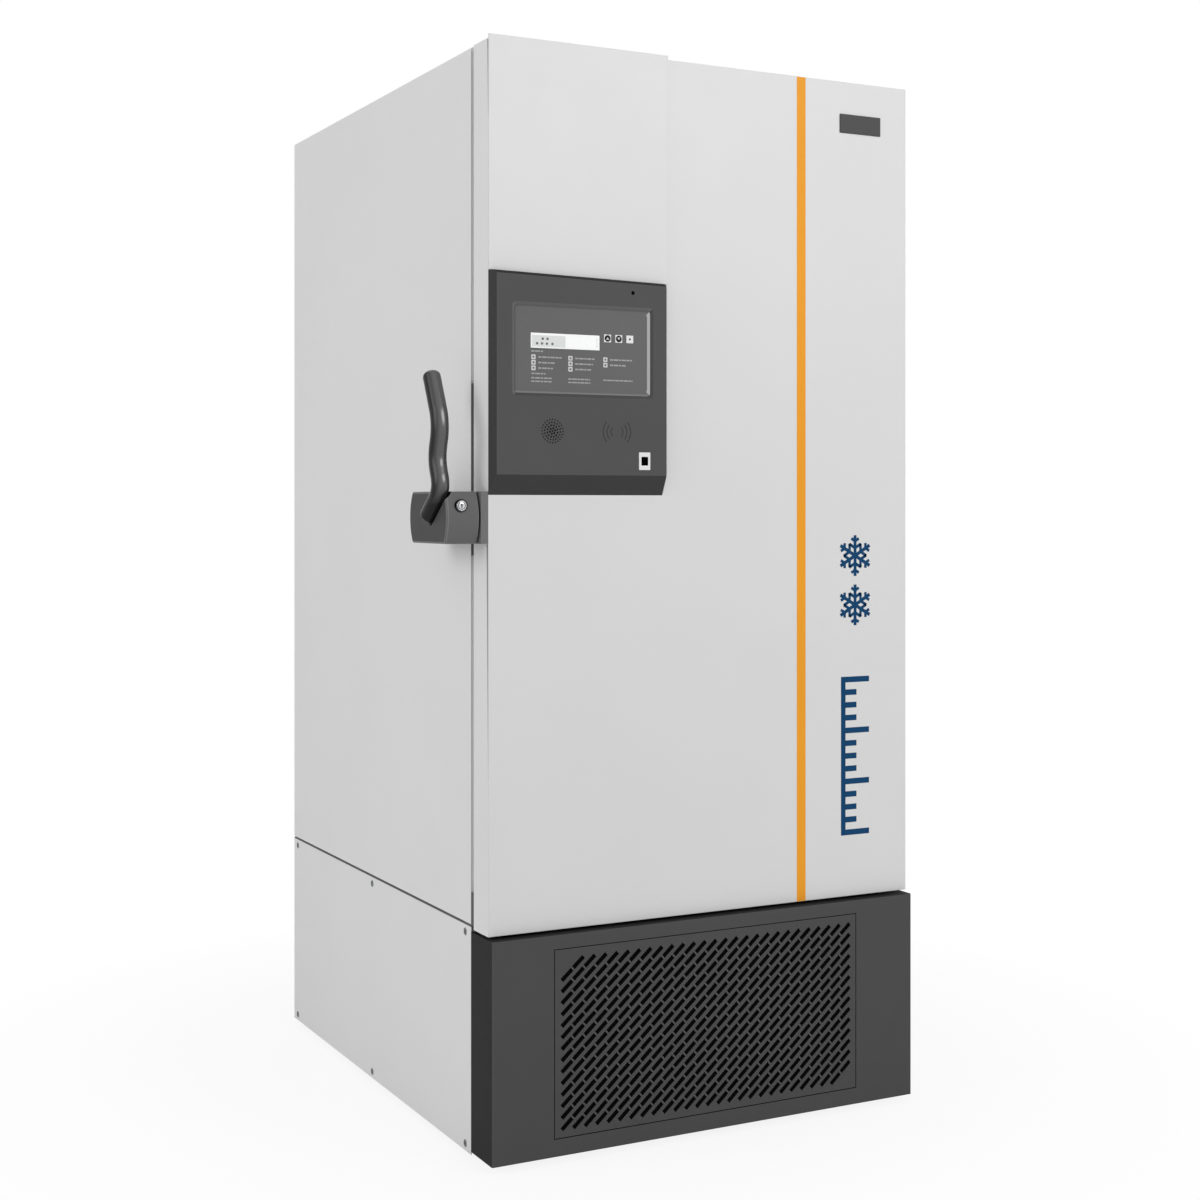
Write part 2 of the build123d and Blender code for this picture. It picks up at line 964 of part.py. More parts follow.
def front_grille():
    back_plane = proud_front + grille_collar_depth - seat_gap
    panel = grille_block(-slide_gap, proud_front, back_plane)
    skirt = slide_gap + grille_skirt
    panel -= grille_block(-skirt, proud_front + grille_thickness, back_plane + overrun)
    slots = Sketch() + [place * Rectangle(slot_length, slot_width) for place in slot_places()]
    return panel - prism_y(slots, proud_front - overrun, proud_front + grille_thickness + overrun)


def air_filter():
    y0 = proud_front + grille_thickness
    return grille_block(-slide_gap - grille_skirt - slide_gap, y0, y0 + filter_thickness)


def base_frame():
    x0 = left + sheet
    x1 = right - sheet
    y1 = back - sheet
    frame = slab(x0, x1, front, y1, tray_level, tray_top)
    rim_top = tray_top + tray_rim
    frame += slab(x0, x1, y1 - post_thickness, y1, tray_level, rim_top)
    for x, towards in ((x0, 1), (x1, -1)):
        xs = sorted((x + towards * rail_setback, x + towards * (rail_setback + post_thickness)))
        frame += slab(*xs, front, y1, cabinet_bottom - frame_rail, cabinet_bottom)
        for y, inward in ((front, 1), (y1, -1)):
            xs = sorted((x, x + towards * post_thickness))
            ys = sorted((y, y + inward * post_size))
            frame += slab(*xs, *ys, tray_level, cabinet_bottom)
            xs = sorted((x, x + towards * post_size))
            ys = sorted((y, y + inward * post_thickness))
            frame += slab(*xs, *ys, tray_level, cabinet_bottom)
    for x in (left + caster_side, right - caster_side):
        frame += caster_plate_block(x, front + caster_front)
        frame -= rod_z(
            x,
            front + caster_front,
            tray_level - caster_plate - overrun,
            tray_top + overrun,
            stem_radius + running_gap,
        )
        frame += caster_plate_block(x, back - caster_rear)
        frame += fixed_fork(x, back - caster_rear)
    return frame


def caster_plate_block(x, y):
    half = caster_plate_size / 2
    z0 = tray_level - caster_plate
    return slab(x - half, x + half, y - half, y + half, z0, tray_level)


def fork_cheeks(x, y, top, axle_z):
    """Two cheeks and the axle of a wheel."""
    inner = wheel_width / 2 + fork_gap
    outer = inner + fork_wall
    half = stem_radius + fork_wall
    bottom = axle_z - 2 * axle_radius
    tapered = make_face(
        Polyline(
            (y - half, top),
            (y - axle_radius, bottom),
            (y + axle_radius, bottom),
            (y + half, top),
            close=True,
        )
    )
    fork = rod_x(x - inner, x + inner, y, axle_z, axle_radius)
    fork += prism_x(tapered, x - outer, x - inner)
    return fork + prism_x(tapered, x + inner, x + outer)


def fixed_fork(x, y):
    return fork_cheeks(x, y, tray_level - caster_plate, wheel_radius)


def swivel_fork(x):
    """A fork that turns on an upright stem, with its wheel trailing behind."""
    y = front + caster_front
    axle_y = y + caster_trail
    axle_z = wheel_radius + jack_gap
    crown_top = tray_level - caster_plate - hinge_axial_gap
    crown_bottom = crown_top - fork_crown
    half = wheel_width / 2 + fork_gap + fork_wall
    y0 = y - stem_radius - fork_wall
    y1 = axle_y + stem_radius + fork_wall
    fork = slab(x - half, x + half, y0, y1, crown_bottom, crown_top)
    fork += fork_cheeks(x, axle_y, crown_top, axle_z)
    return fork + rod_z(x, y, crown_bottom, tray_top, stem_radius)


def wheel(x, y, axle_z):
    x0 = x - wheel_width / 2
    x1 = x + wheel_width / 2
    bore = rod_x(x0 - overrun, x1 + overrun, y, axle_z, axle_radius + running_gap)
    return rod_x(x0, x1, y, axle_z, wheel_radius) - bore


def front_wheel(x):
    return wheel(x, front + caster_front + caster_trail, wheel_radius + jack_gap)


def levelling_foot(x):
    y = front + foot_front
    disc = rod_z(x, y, 0, foot_height, foot_radius)
    stud = Pos(x, y) * RegularPolygon(foot_stud_radius, 6)
    return disc + prism_z(stud, foot_height, tray_level)


def side_panel(x0, x1):
    return slab(x0, x1, front, back, side_panel_bottom, side_panel_top)


def panel_screws():
    """Six flat screws on each lower side panel."""
    head = RegularPolygon(screw_radius, 6)
    depth_places = (front + screw_inset, (front + back) / 2, back - screw_inset)
    heights = (side_panel_bottom + screw_drop, side_panel_top - screw_drop)
    screws = []
    for y in depth_places:
        for z in heights:
            screws.append(prism_x(Pos(y, z) * head, left - screw_head, left))
            screws.append(prism_x(Pos(y, z) * head, right, right + screw_head))
    return screws


def lower_rear_panel():
    x0 = left + sheet + seat_gap
    x1 = right - sheet - seat_gap
    panel = slab(x0, x1, back - sheet, back, side_panel_bottom, side_panel_top)
    z_mid = (tray_top + side_panel_top) / 2
    for column in (-1, 1):
        x = cabinet_x + column * rear_slot_spread
        for row in range(rear_slot_count):
            z = z_mid + (row - (rear_slot_count - 1) / 2) * rear_slot_pitch
            panel -= slab(
                x - rear_slot_width / 2,
                x + rear_slot_width / 2,
                back - sheet - overrun,
                back + overrun,
                z - rear_slot_height / 2,
                z + rear_slot_height / 2,
            )
    x, z = inlet_place()
    return panel - slab(
        x - inlet_width / 2 - seat_gap,
        x + inlet_width / 2 + seat_gap,
        back - sheet - overrun,
        back + overrun,
        z - inlet_height / 2 - seat_gap,
        z + inlet_height / 2 + seat_gap,
    )


# Power inlet and electrical box
def inlet_place():
    return right - sheet - post_size - inlet_width, side_panel_top - 2 * inlet_height


def power_inlet():
    x, z = inlet_place()
    body = slab(
        x - inlet_width / 2,
        x + inlet_width / 2,
        back - inlet_depth,
        back,
        z - inlet_height / 2,
        z + inlet_height / 2,
    )
    flange = slab(
        x - inlet_width / 2 - inlet_flange,
        x + inlet_width / 2 + inlet_flange,
        back,
        back + inlet_flange_thickness,
        z - inlet_height / 2 - inlet_flange,
        z + inlet_height / 2 + inlet_flange,
    )
    mouth = back + inlet_flange_thickness
    floor = mouth - inlet_socket_depth
    socket = slab(
        x - inlet_socket_width / 2,
        x + inlet_socket_width / 2,
        floor,
        mouth + overrun,
        z - inlet_socket_height / 2,
        z + inlet_socket_height / 2,
    )
    inlet = body + flange - socket
    for i in (-1, 0, 1):
        pin_x = x + i * inlet_pin_pitch
        inlet += slab(
            pin_x - inlet_pin_thickness / 2,
            pin_x + inlet_pin_thickness / 2,
            floor,
            floor + inlet_pin_length,
            z - inlet_pin_width / 2,
            z + inlet_pin_width / 2,
        )
    return inlet


def electrical_box():
    x1 = right - sheet - post_size
    y1 = back - sheet - post_thickness - inlet_depth
    return slab(x1 - box_width, x1, y1 - box_depth, y1, tray_top, tray_top + box_height)


# Refrigeration
def compressor_places():
    return [left + sheet + compressor_clearance + compressor_foot / 2, cabinet_x]


def compressor(x):
    z0 = tray_top + mount_height
    z1 = z0 + compressor_foot_thickness
    half = compressor_foot / 2
    foot = slab(x - half, x + half, compressor_y - half, compressor_y + half, z0, z1)
    profile = make_face(
        Polyline(
            (0, z1),
            (compressor_radius, z1),
            (compressor_radius, z1 + compressor_height - compressor_dome),
            (compressor_neck, z1 + compressor_height),
            (0, z1 + compressor_height),
            close=True,
        )
    )
    body = revolve(Plane.XZ * profile, axis=Axis.Z)
    return foot + Pos(x, compressor_y, 0) * body


def compressor_mounts():
    mounts = []
    half = mount_pitch / 2
    for x in compressor_places():
        for dx in (-half, half):
            for dy in (-half, half):
                place = Pos(x + dx, compressor_y + dy)
                foot = place * RegularPolygon(mount_radius, 8)
                mounts.append(prism_z(foot, tray_top, tray_top + mount_height))
    return mounts


def condenser():
    half = condenser_width / 2
    top = tray_top + condenser_height
    core = slab(
        cabinet_x - half, cabinet_x + half, condenser_y0, condenser_y1, tray_top, top
    )
    span = condenser_width - 2 * condenser_header
    pitch = span / condenser_fin_count
    for i in range(condenser_fin_count):
        x = cabinet_x - span / 2 + (i + 0.5) * pitch
        core -= slab(
            x - condenser_fin_groove,
            x + condenser_fin_groove,
            condenser_y0 - overrun,
            condenser_y0 + condenser_depth / 2,
            tray_top + condenser_header,
            top - condenser_header,
        )
    return core


def fan_shroud():
    half = condenser_width / 2
    top = tray_top + condenser_height
    y1 = condenser_y1 + shroud_depth
    shroud = slab(cabinet_x - half, cabinet_x + half, condenser_y1, y1, tray_top, top)
    shroud -= slab(
        cabinet_x - half + shroud_wall,
        cabinet_x + half - shroud_wall,
        condenser_y1 - overrun,
        y1 - shroud_wall,
        tray_top + shroud_wall,
        top - shroud_wall,
    )
    return shroud - rod_y(cabinet_x, condenser_y1, y1 + overrun, fan_z, fan_radius + fan_tip_gap)


def fan_motor():
    """The motor, with a bar across the shroud that carries it."""
    y0 = condenser_y1 + shroud_depth
    y1 = y0 + motor_arm_thickness
    half = fan_radius + fan_tip_gap + motor_arm
    bar = slab(
        cabinet_x - half,
        cabinet_x + half,
        y0,
        y1,
        fan_z - motor_arm / 2,
        fan_z + motor_arm / 2,
    )
    motor = bar + rod_y(cabinet_x, y0, y0 + motor_depth, fan_z, motor_radius)
    shaft_tip = fan_y - fan_hub_depth / 2
    return motor + rod_y(cabinet_x, shaft_tip, y0, fan_z, fan_shaft_radius)


def condenser_fan():
    y0 = fan_y - fan_hub_depth / 2
    y1 = fan_y + fan_hub_depth / 2
    fan = rod_y(cabinet_x, y0, y1, fan_z, fan_hub_radius)
    length = fan_radius - fan_hub_radius / 2
    reach = fan_hub_radius / 2 + length / 2
    blade = Pos(0, 0, reach) * Rot(0, 0, fan_blade_pitch) * Box(
        fan_blade_chord, fan_blade_thickness, length
    )
    for i in range(fan_blades):
        turn = Pos(cabinet_x, fan_y, fan_z) * Rot(0, i * 360 / fan_blades, 0)
        fan += turn * blade
    return fan - rod_y(cabinet_x, y0 - overrun, y1 + overrun, fan_z, fan_shaft_radius + running_gap)


def filter_drier():
    return rod_z(drier_x, drier_y, tray_top, tray_top + drier_height, drier_radius)


def cascade_exchanger():
    return rod_z(
        exchanger_x, exchanger_y, tray_top, tray_top + exchanger_height, exchanger_radius
    )


def refrigerant_pipes():
    """Two lines with brazed elbows: to the exchanger, and to the drier."""
    top = tray_top + mount_height + compressor_foot_thickness + compressor_height
    first, second = compressor_places()
    lines = (
        (first, exchanger_x, exchanger_y, tray_top + exchanger_height),
        (second, drier_x, drier_y, tray_top + drier_height),
    )
    pipes = []
    for x0, x1, y1, end in lines:
        path = Polyline(
            (x0, compressor_y, top),
            (x0, compressor_y, top + pipe_rise),
            (x1, y1, top + pipe_rise),
            (x1, y1, end),
        )
        pipes.append(swept(path, pipe_radius, Transition.RIGHT))
    return pipes


def write_cabinet():
    coil = evaporator_coil()
    save("outer_cabinet", outer_cabinet())
    save("rear_panel", rear_panel())
    save("breaker_frame", breaker_frame())
    save("inner_liner", inner_liner())
    save("evaporator_coil", coil)
    save("cabinet_insulation", cabinet_insulation(coil))
    save("shelves", *[shelf(level) for level in shelf_levels])
    middle = (in_bottom + in_top) / 2
    half_gap = inner_door_gap / 2
    save("inner_door_lower", inner_door(in_bottom + inner_door_gap, middle - half_gap))
    save("inner_door_upper", inner_door(middle + half_gap, in_top - inner_door_gap))
    save("inner_hinge_rod", inner_hinge_rod())
    save("hinge_brackets", *[hinge_bracket(level) for level in hinge_levels])
    save("hinge_pins", *[hinge_pin(level) for level in hinge_levels])
    save("latch_keeper", latch_keeper())
    save("latch_strip", latch_strip())


def write_door():
    save("door_shell", door_shell())
    save("door_insulation", door_foam_block())
    save("door_liner", door_liner())
    save("door_gasket", door_gasket())
    save("column_cover", column_cover())
    save("control_housing", control_housing())
    save("control_board", control_board())
    save("control_overlay", control_overlay())
    save("display_window", window_block(seat_gap))
    save("service_port", service_port())
    for index, name in enumerate(("up", "down", "set")):
        save(f"key_{name}", panel_key(index))
    save("hinge_leaves", *[hinge_leaf_on_door(level) for level in hinge_levels])
    save("latch_base", latch_base())
    save("handle_hub", handle_hub())
    save("handle_rod", handle_rod())
    save("lock_cylinder", lock_cylinder())


def write_base():
    save("base_frame", base_frame())
    save("base_bezel", base_bezel())
    save("front_grille", front_grille())
    save("air_filter", air_filter())
    save("side_panel_left", side_panel(left, left + sheet))
    save("side_panel_right", side_panel(right - sheet, right))
    save("panel_screws", *panel_screws())
    save("lower_rear_panel", lower_rear_panel())
    save("power_inlet", power_inlet())
    save("electrical_box", electrical_box())
    first, second = compressor_places()
    save("compressor_first_stage", compressor(first))
    save("compressor_second_stage", compressor(second))
    save("compressor_mounts", *compressor_mounts())
    save("condenser", condenser())
    save("fan_shroud", fan_shroud())
    save("fan_motor", fan_motor())
    save("condenser_fan", condenser_fan())
    save("filter_drier", filter_drier())
    save("cascade_exchanger", cascade_exchanger())
    save("refrigerant_pipes", *refrigerant_pipes())
    for side, x in (("left", left + caster_side), ("right", right - caster_side)):
        save(f"caster_fork_{side}", swivel_fork(x))
        save(f"front_wheel_{side}", front_wheel(x))
        save(f"rear_wheel_{side}", wheel(x, back - caster_rear, wheel_radius))
    save(
        "levelling_feet",
        levelling_foot(left + foot_side),
        levelling_foot(right - foot_side),
    )


write_cabinet()
write_door()
write_base()
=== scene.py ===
"""Looks of an upright laboratory freezer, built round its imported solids. Metres, +Z up."""

import math

import bmesh
import bpy
from mathutils import Matrix, Vector


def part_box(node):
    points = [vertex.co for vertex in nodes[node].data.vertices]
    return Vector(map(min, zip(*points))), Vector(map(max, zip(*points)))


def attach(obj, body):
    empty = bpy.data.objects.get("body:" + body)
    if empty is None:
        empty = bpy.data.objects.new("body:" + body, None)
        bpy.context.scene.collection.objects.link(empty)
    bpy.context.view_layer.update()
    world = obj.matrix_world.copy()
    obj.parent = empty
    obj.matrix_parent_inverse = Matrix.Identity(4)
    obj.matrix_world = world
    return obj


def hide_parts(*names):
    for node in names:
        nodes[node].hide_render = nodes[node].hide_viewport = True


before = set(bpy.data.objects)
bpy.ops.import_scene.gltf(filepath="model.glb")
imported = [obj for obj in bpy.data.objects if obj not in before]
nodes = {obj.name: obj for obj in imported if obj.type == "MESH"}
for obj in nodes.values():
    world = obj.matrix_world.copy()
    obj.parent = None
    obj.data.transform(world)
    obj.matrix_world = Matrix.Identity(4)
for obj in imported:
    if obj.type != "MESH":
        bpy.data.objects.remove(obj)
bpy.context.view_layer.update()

# Camera of the photograph, found from the freezer's straight edges
CAMERA_PLACE = (-1.7421, -3.5344, 1.1724)
CAMERA_TURN = math.radians(27.278)
CAMERA_LENS = 55.93
CAMERA_SENSOR = 36.0
CAMERA_SHIFT_Y = -0.0783

# Prints on the door's front, placed from the door's left edge and up from the floor
STRIPE_LEFT = 0.6446
STRIPE_WIDTH = 0.0200
BADGE_LEFT = 0.7432
BADGE_WIDTH = 0.0955
BADGE_BOTTOM = 1.8964
BADGE_HEIGHT = 0.0367
MARK_LEFT = 0.7465
MARK_WIDTH = 0.0660
FLAKE_LEVELS = (1.0760, 0.9800)
SCALE_BOTTOM = 0.5331
SCALE_HEIGHT = 0.3078
STRIPE_MARGIN = 0.0005
BADGE_CORNER = 0.0015
BADGE_RISE = 0.0018
BADGE_EDGE = 0.0006

# Ice crystal: its reach as a share of the marks' width, its arms and twigs as shares of its reach
FLAKE_REACH = 0.60
FLAKE_ARM = 0.085
FLAKE_TWIG = 0.145
FLAKE_TWIGS = ((0.34, 0.34), (0.68, 0.20))

# Thermometer's scale, with its spine and short ticks as shares of its width
SCALE_TICKS = 13
SCALE_SPINE = 0.16
SHORT_TICK = 0.55
LONG_TICK_EVERY = 4
TICK_THICKNESS = 0.011

# Places on the control panel, from the door's left edge and up from the floor
BUZZER_FROM_LEFT = 0.1171
BUZZER_LEVEL = 1.3056
READER_FROM_LEFT = 0.2466
READER_LEVEL = 1.3062
PINHOLE_FROM_LEFT = 0.2794
PINHOLE_LEVEL = 1.5592
LAMP_SIZE = 0.0085
LAMP_COLUMNS = (0.0813, 0.1543, 0.2247)
LAMP_TOP = 1.4365
LAMP_PITCH = 0.0098
LAMP_CORNER = 0.0012
LAMP_GLYPH = 0.0019
DASHES = (0.0062, 0.0094, 0.0046, 0.0078)
DASH_GAP = 0.0014
SHORTEST_DASH = 0.001

# Lines of print beside the lamps, above them and below them
LAMP_LINES = ((0.046, 0.033, 0.029), (0.039, 0.036, 0.032), (0.045, 0.032))
LAMP_LINE_START = 1.1 * LAMP_SIZE
LAMP_LINE_HALF = 0.0013
LINE_HALF = 0.0012
TITLE_LENGTH = 0.024
TITLE_RISE = 0.0103
NOTE_LENGTH = 0.028
LOOSE_LINES = (0.042, 0.044, 0.060)
LOOSE_DROP = 0.0078
LOOSE_PITCH = 0.0060

# Display: margins from its edges, and its split and icons as shares of its width and height
DISPLAY_SPLIT = 0.50
DISPLAY_MARGIN = 0.002
DISPLAY_TOP_MARGIN = 0.004
DISPLAY_BAR = (0.006, 0.0045)
DISPLAY_ICON_ROWS = ((0.62, (0.17, 0.24)), (0.30, (0.09, 0.16, 0.23, 0.31)))
DISPLAY_ICON = 0.0024

# Marks on the keys, as shares of a key's width
KEY_DOT = 0.14
KEY_DISC = 0.43
ARROW_HALF_HEIGHT = 0.17
ARROW_HALF_WIDTH = 0.22

# Buzzer's holes and reader's waves
BUZZER_RINGS = 4
BUZZER_RING_STEP = 0.0052
BUZZER_RING_TURN = 0.25
BUZZER_MIDDLE_HOLE = 0.0017
BUZZER_HOLE = 0.0021
BUZZER_HOLE_TAPER = 0.0002
WAVES = 3
WAVE_FIRST = 0.012
WAVE_STEP = 0.008
WAVE_LINE = 0.0022
WAVE_SPREAD = 40
PINHOLE_RADIUS = 0.0036

# Recess round the overlay, and the painted shine and shade along its edges
RIM_WIDTH = 0.0045
RIM_CORNER = 0.0070
RIM_MARGIN = 0.0002
SHINE_WIDTH = 0.0065
EDGE_SHADE_WIDTH = 0.0030
SHEEN_WIDTH = 0.0035

# Socket of the service port
SOCKET_WIDTH = 0.0130
SOCKET_HEIGHT = 0.0150
SOCKET_DEPTH = 0.0100
SOCKET_WALL = 0.0004
CONTACT_RISE = 0.004

# Screw heads on the side panels, with the steps of their dome as shares of the radius
SCREW_RADIUS = 0.0040
SCREW_HEAD = 0.0010
SCREW_SIDES = 20
SCREW_DOME = (1.0, 0.92, 0.7, 0.4)
RECESS_LENGTH = 0.0044
RECESS_WIDTH = 0.0010
RECESS_DEPTH = 0.0008
RECESS_RISE = 0.00005

# Painted shadows: line round the grille, seams above the side panels and strip below the door's gap
GRILLE_GAP = 0.0005
GAP_SHADOW_WIDTH = 0.0010
SEAM_SHADOW_DEPTH = 0.0006
LOWER_SHADOW_RISE = 0.0125

# Painted shadow line at the door's left front edge: where a stretch is widest, where it ends, and
# its width
FOLD_SHADOW_INSET = 0.0002
FOLD_SHADOW_STRETCHES = ((1.1050, 0.6900, 0.0065), (1.9930, 1.8600, 0.0035))

# Plate, skirt and slanting slots of the grille
GRILLE_PLATE = 0.0030
GRILLE_SKIRT = 0.0020
SLOT_COLUMNS = 27
SLOT_ROWS = 15
SLOT_PITCH_X = 0.02303
SLOT_PITCH_Z = 0.02045
SLOT_DROP = 0.0015
SLOT_LENGTH = 0.0276
SLOT_WIDTH = 0.0085
SLOT_SLANT = math.radians(41.4)

# Painted shade on the foot of the handle's rod, from where to where up its height
FOOT_SHADE_SHARES = (0.24, 0.12)

# Distances over which the floor's shadow fades to plain white, and the dark floor's inset
SHADOW_NEAR = 0.6
SHADOW_FAR = 1.5
UNDER_BASE_INSET = 0.06

# Thickness of a print, and how far it reaches into what carries it
PRINT_RISE = 0.0002
PRINT_SINK = 0.0002

# How far a normal has to turn for a painted shade, a dulled gloss or a painted edge highlight to
# start, and to be full
OFF_FRONT = (-0.98, -0.90)
LEFT_FACES = (-0.85, -0.95)
TOP_FACES = (0.3, 0.6)
ROUND_LEFT = (-0.35, -0.85)
ROUND_RIGHT = (0.30, 0.80)
EDGE_TURN = (0.999, 0.96)

# Noise levels between which a mottled colour swings, detail of the noise, how much coarser the
# gloss is than the grain, and the depth of a full bump
MOTTLE_LEVELS = (0.3, 0.7)
MOTTLE_DETAIL = 3.0
GRAIN_DETAIL = 2.0
GLOSS_COARSENESS = 40
BUMP_DEPTH = 0.0005


def linear(red, green, blue):
    """A screen colour, 0 to 255, as the linear colour that a shader takes."""

    def channel(value):
        value /= 255
        return value / 12.92 if value <= 0.04045 else ((value + 0.055) / 1.055) ** 2.4

    return (channel(red), channel(green), channel(blue), 1.0)


def shade(color, factor):
    """A colour made lighter or darker."""
    return tuple(min(1.0, c * factor) for c in color[:3]) + (1.0,)


def surface(
    name,
    color,
    roughness,
    metallic=0.0,
    specular=0.5,
    mottle=0.03,
    mottle_scale=4.0,
    grain_scale=800.0,
    grain=0.05,
    roughness_swing=0.05,
    edge=0.0,
    stretch=(1.0, 1.0, 1.0),
    side_shade=1.0,
    left_shade=1.0,
    top_shade=1.0,
    edge_light=1.0,
    coat=0.0,
    side_gloss=1.0,
    foot_shade=1.0,
):
    """A material with mottled colour, uneven gloss, fine grain and softened edges, and where asked,
    shade painted by the way a face points, paler edges as a painted highlight, and gloss dulled on
    a round piece's flanks.
    """
    material = bpy.data.materials.new(name)
    material.use_nodes = True
    tree = material.node_tree
    links = tree.links
    shader = tree.nodes["Principled BSDF"]
    shader.inputs["Metallic"].default_value = metallic
    shader.inputs["Specular IOR Level"].default_value = specular
    shader.inputs["Coat Weight"].default_value = coat
    shader.inputs["Coat Roughness"].default_value = roughness
    place = tree.nodes.new("ShaderNodeTexCoord")
    mapping = tree.nodes.new("ShaderNodeMapping")
    mapping.inputs["Scale"].default_value = stretch
    links.new(place.outputs["Object"], mapping.inputs["Vector"])

    def noise(scale, detail):
        node = tree.nodes.new("ShaderNodeTexNoise")
        node.inputs["Scale"].default_value = scale
        node.inputs["Detail"].default_value = detail
        links.new(mapping.outputs["Vector"], node.inputs["Vector"])
        return node.outputs["Fac"]

    ramp = tree.nodes.new("ShaderNodeValToRGB")
    factors = (1 - mottle, 1 + mottle)
    for element, level, factor in zip(ramp.color_ramp.elements, MOTTLE_LEVELS, factors):
        element.position = level
        element.color = shade(color, factor)
    links.new(noise(mottle_scale, MOTTLE_DETAIL), ramp.inputs["Fac"])
    paint = ramp.outputs["Color"]
    # Shade painted into the colour by the way a face points: off the front, to the left, and up
    if side_shade < 1.0:
        paint = multiplied(tree, paint, facing(tree, place, "Y", *OFF_FRONT), side_shade)
    if left_shade < 1.0:
        paint = multiplied(tree, paint, facing(tree, place, "X", *LEFT_FACES), left_shade)
    if top_shade < 1.0:
        paint = multiplied(tree, paint, facing(tree, place, "Z", *TOP_FACES), top_shade)
    # Gloss dulled on the flanks of a round piece, and shade painted on its foot
    if side_gloss < 1.0:
        dull = [facing(tree, place, "X", *ends) for ends in (ROUND_LEFT, ROUND_RIGHT)]
        if foot_shade < 1.0:
            dull.append(near_foot(tree, place, *FOOT_SHADE_SHARES))
            paint = multiplied(tree, paint, dull[-1], foot_shade)
        fade = tree.nodes.new("ShaderNodeMapRange")
        fade.inputs["To Min"].default_value = specular
        fade.inputs["To Max"].default_value = specular * side_gloss
        links.new(largest(tree, dull), fade.inputs["Value"])
        links.new(fade.outputs["Result"], shader.inputs["Specular IOR Level"])
        coat_fade = tree.nodes.new("ShaderNodeMath")
        coat_fade.operation = "MULTIPLY"
        coat_fade.inputs[1].default_value = coat / specular
        links.new(fade.outputs["Result"], coat_fade.inputs[0])
        links.new(coat_fade.outputs[0], shader.inputs["Coat Weight"])

    gloss = tree.nodes.new("ShaderNodeMapRange")
    gloss.inputs["To Min"].default_value = roughness - roughness_swing
    gloss.inputs["To Max"].default_value = roughness + roughness_swing
    links.new(noise(grain_scale / GLOSS_COARSENESS, GRAIN_DETAIL), gloss.inputs["Value"])
    links.new(gloss.outputs["Result"], shader.inputs["Roughness"])

    bump = tree.nodes.new("ShaderNodeBump")
    bump.inputs["Strength"].default_value = grain
    bump.inputs["Distance"].default_value = BUMP_DEPTH
    links.new(noise(grain_scale, GRAIN_DETAIL), bump.inputs["Height"])
    links.new(bump.outputs["Normal"], shader.inputs["Normal"])
    if edge:
        bevel = tree.nodes.new("ShaderNodeBevel")
        bevel.inputs["Radius"].default_value = edge
        links.new(bevel.outputs["Normal"], bump.inputs["Normal"])
        # Paler edges: a painted highlight
        if edge_light > 1.0:
            paint = painted_edge_highlights(tree, bevel, paint, edge_light)
    links.new(paint, shader.inputs["Base Color"])
    return material


def multiplied(tree, color, factor, amount):
    """A colour times a number, as far as a factor says."""
    mix = tree.nodes.new("ShaderNodeMix")
    mix.data_type = "RGBA"
    mix.blend_type = "MULTIPLY"
    tree.links.new(factor, mix.inputs["Factor"])
    tree.links.new(color, mix.inputs["A"])
    mix.inputs["B"].default_value = (amount, amount, amount, 1.0)
    return mix.outputs["Result"]


def painted_edge_highlights(tree, bevel, color, edge_light):
    """Painted highlight: edges made paler where the rounded normal leaves the flat one."""
    flat = tree.nodes.new("ShaderNodeNewGeometry")
    same = tree.nodes.new("ShaderNodeVectorMath")
    same.operation = "DOT_PRODUCT"
    tree.links.new(flat.outputs["Normal"], same.inputs[0])
    tree.links.new(bevel.outputs["Normal"], same.inputs[1])
    near = tree.nodes.new("ShaderNodeMapRange")
    near.inputs["From Min"].default_value = EDGE_TURN[0]
    near.inputs["From Max"].default_value = EDGE_TURN[1]
    tree.links.new(same.outputs["Value"], near.inputs["Value"])
    return multiplied(tree, color, near.outputs["Result"], edge_light)


def facing(tree, place, axis, start, end):
    """How far a surface's normal has turned along an axis, from 0 at the start to 1 at the end."""
    split = tree.nodes.new("ShaderNodeSeparateXYZ")
    tree.links.new(place.outputs["Normal"], split.inputs["Vector"])
    turned_by = tree.nodes.new("ShaderNodeMapRange")
    turned_by.inputs["From Min"].default_value = start
    turned_by.inputs["From Max"].default_value = end
    tree.links.new(split.outputs[axis], turned_by.inputs["Value"])
    return turned_by.outputs["Result"]


def near_foot(tree, place, start, end):
    """Nearness to a piece's foot, from 0 at the start to 1 at the end, as shares of its height."""
    split = tree.nodes.new("ShaderNodeSeparateXYZ")
    tree.links.new(place.outputs["Generated"], split.inputs["Vector"])
    nearness = tree.nodes.new("ShaderNodeMapRange")
    nearness.inputs["From Min"].default_value = start
    nearness.inputs["From Max"].default_value = end
    tree.links.new(split.outputs["Z"], nearness.inputs["Value"])
    return nearness.outputs["Result"]


def largest(tree, values):
    """The largest of some shader values."""
    found = values[0]
    for value in values[1:]:
        node = tree.nodes.new("ShaderNodeMath")
        node.operation = "MAXIMUM"
        tree.links.new(found, node.inputs[0])
        tree.links.new(value, node.inputs[1])
        found = node.outputs[0]
    return found


def glowing(material, strength):
    """Gives a material a little light of its own: painted light that brightens a display."""
    shader = material.node_tree.nodes["Principled BSDF"]
    shader.inputs["Emission Color"].default_value = (1.0, 1.0, 1.0, 1.0)
    shader.inputs["Emission Strength"].default_value = strength
    return material


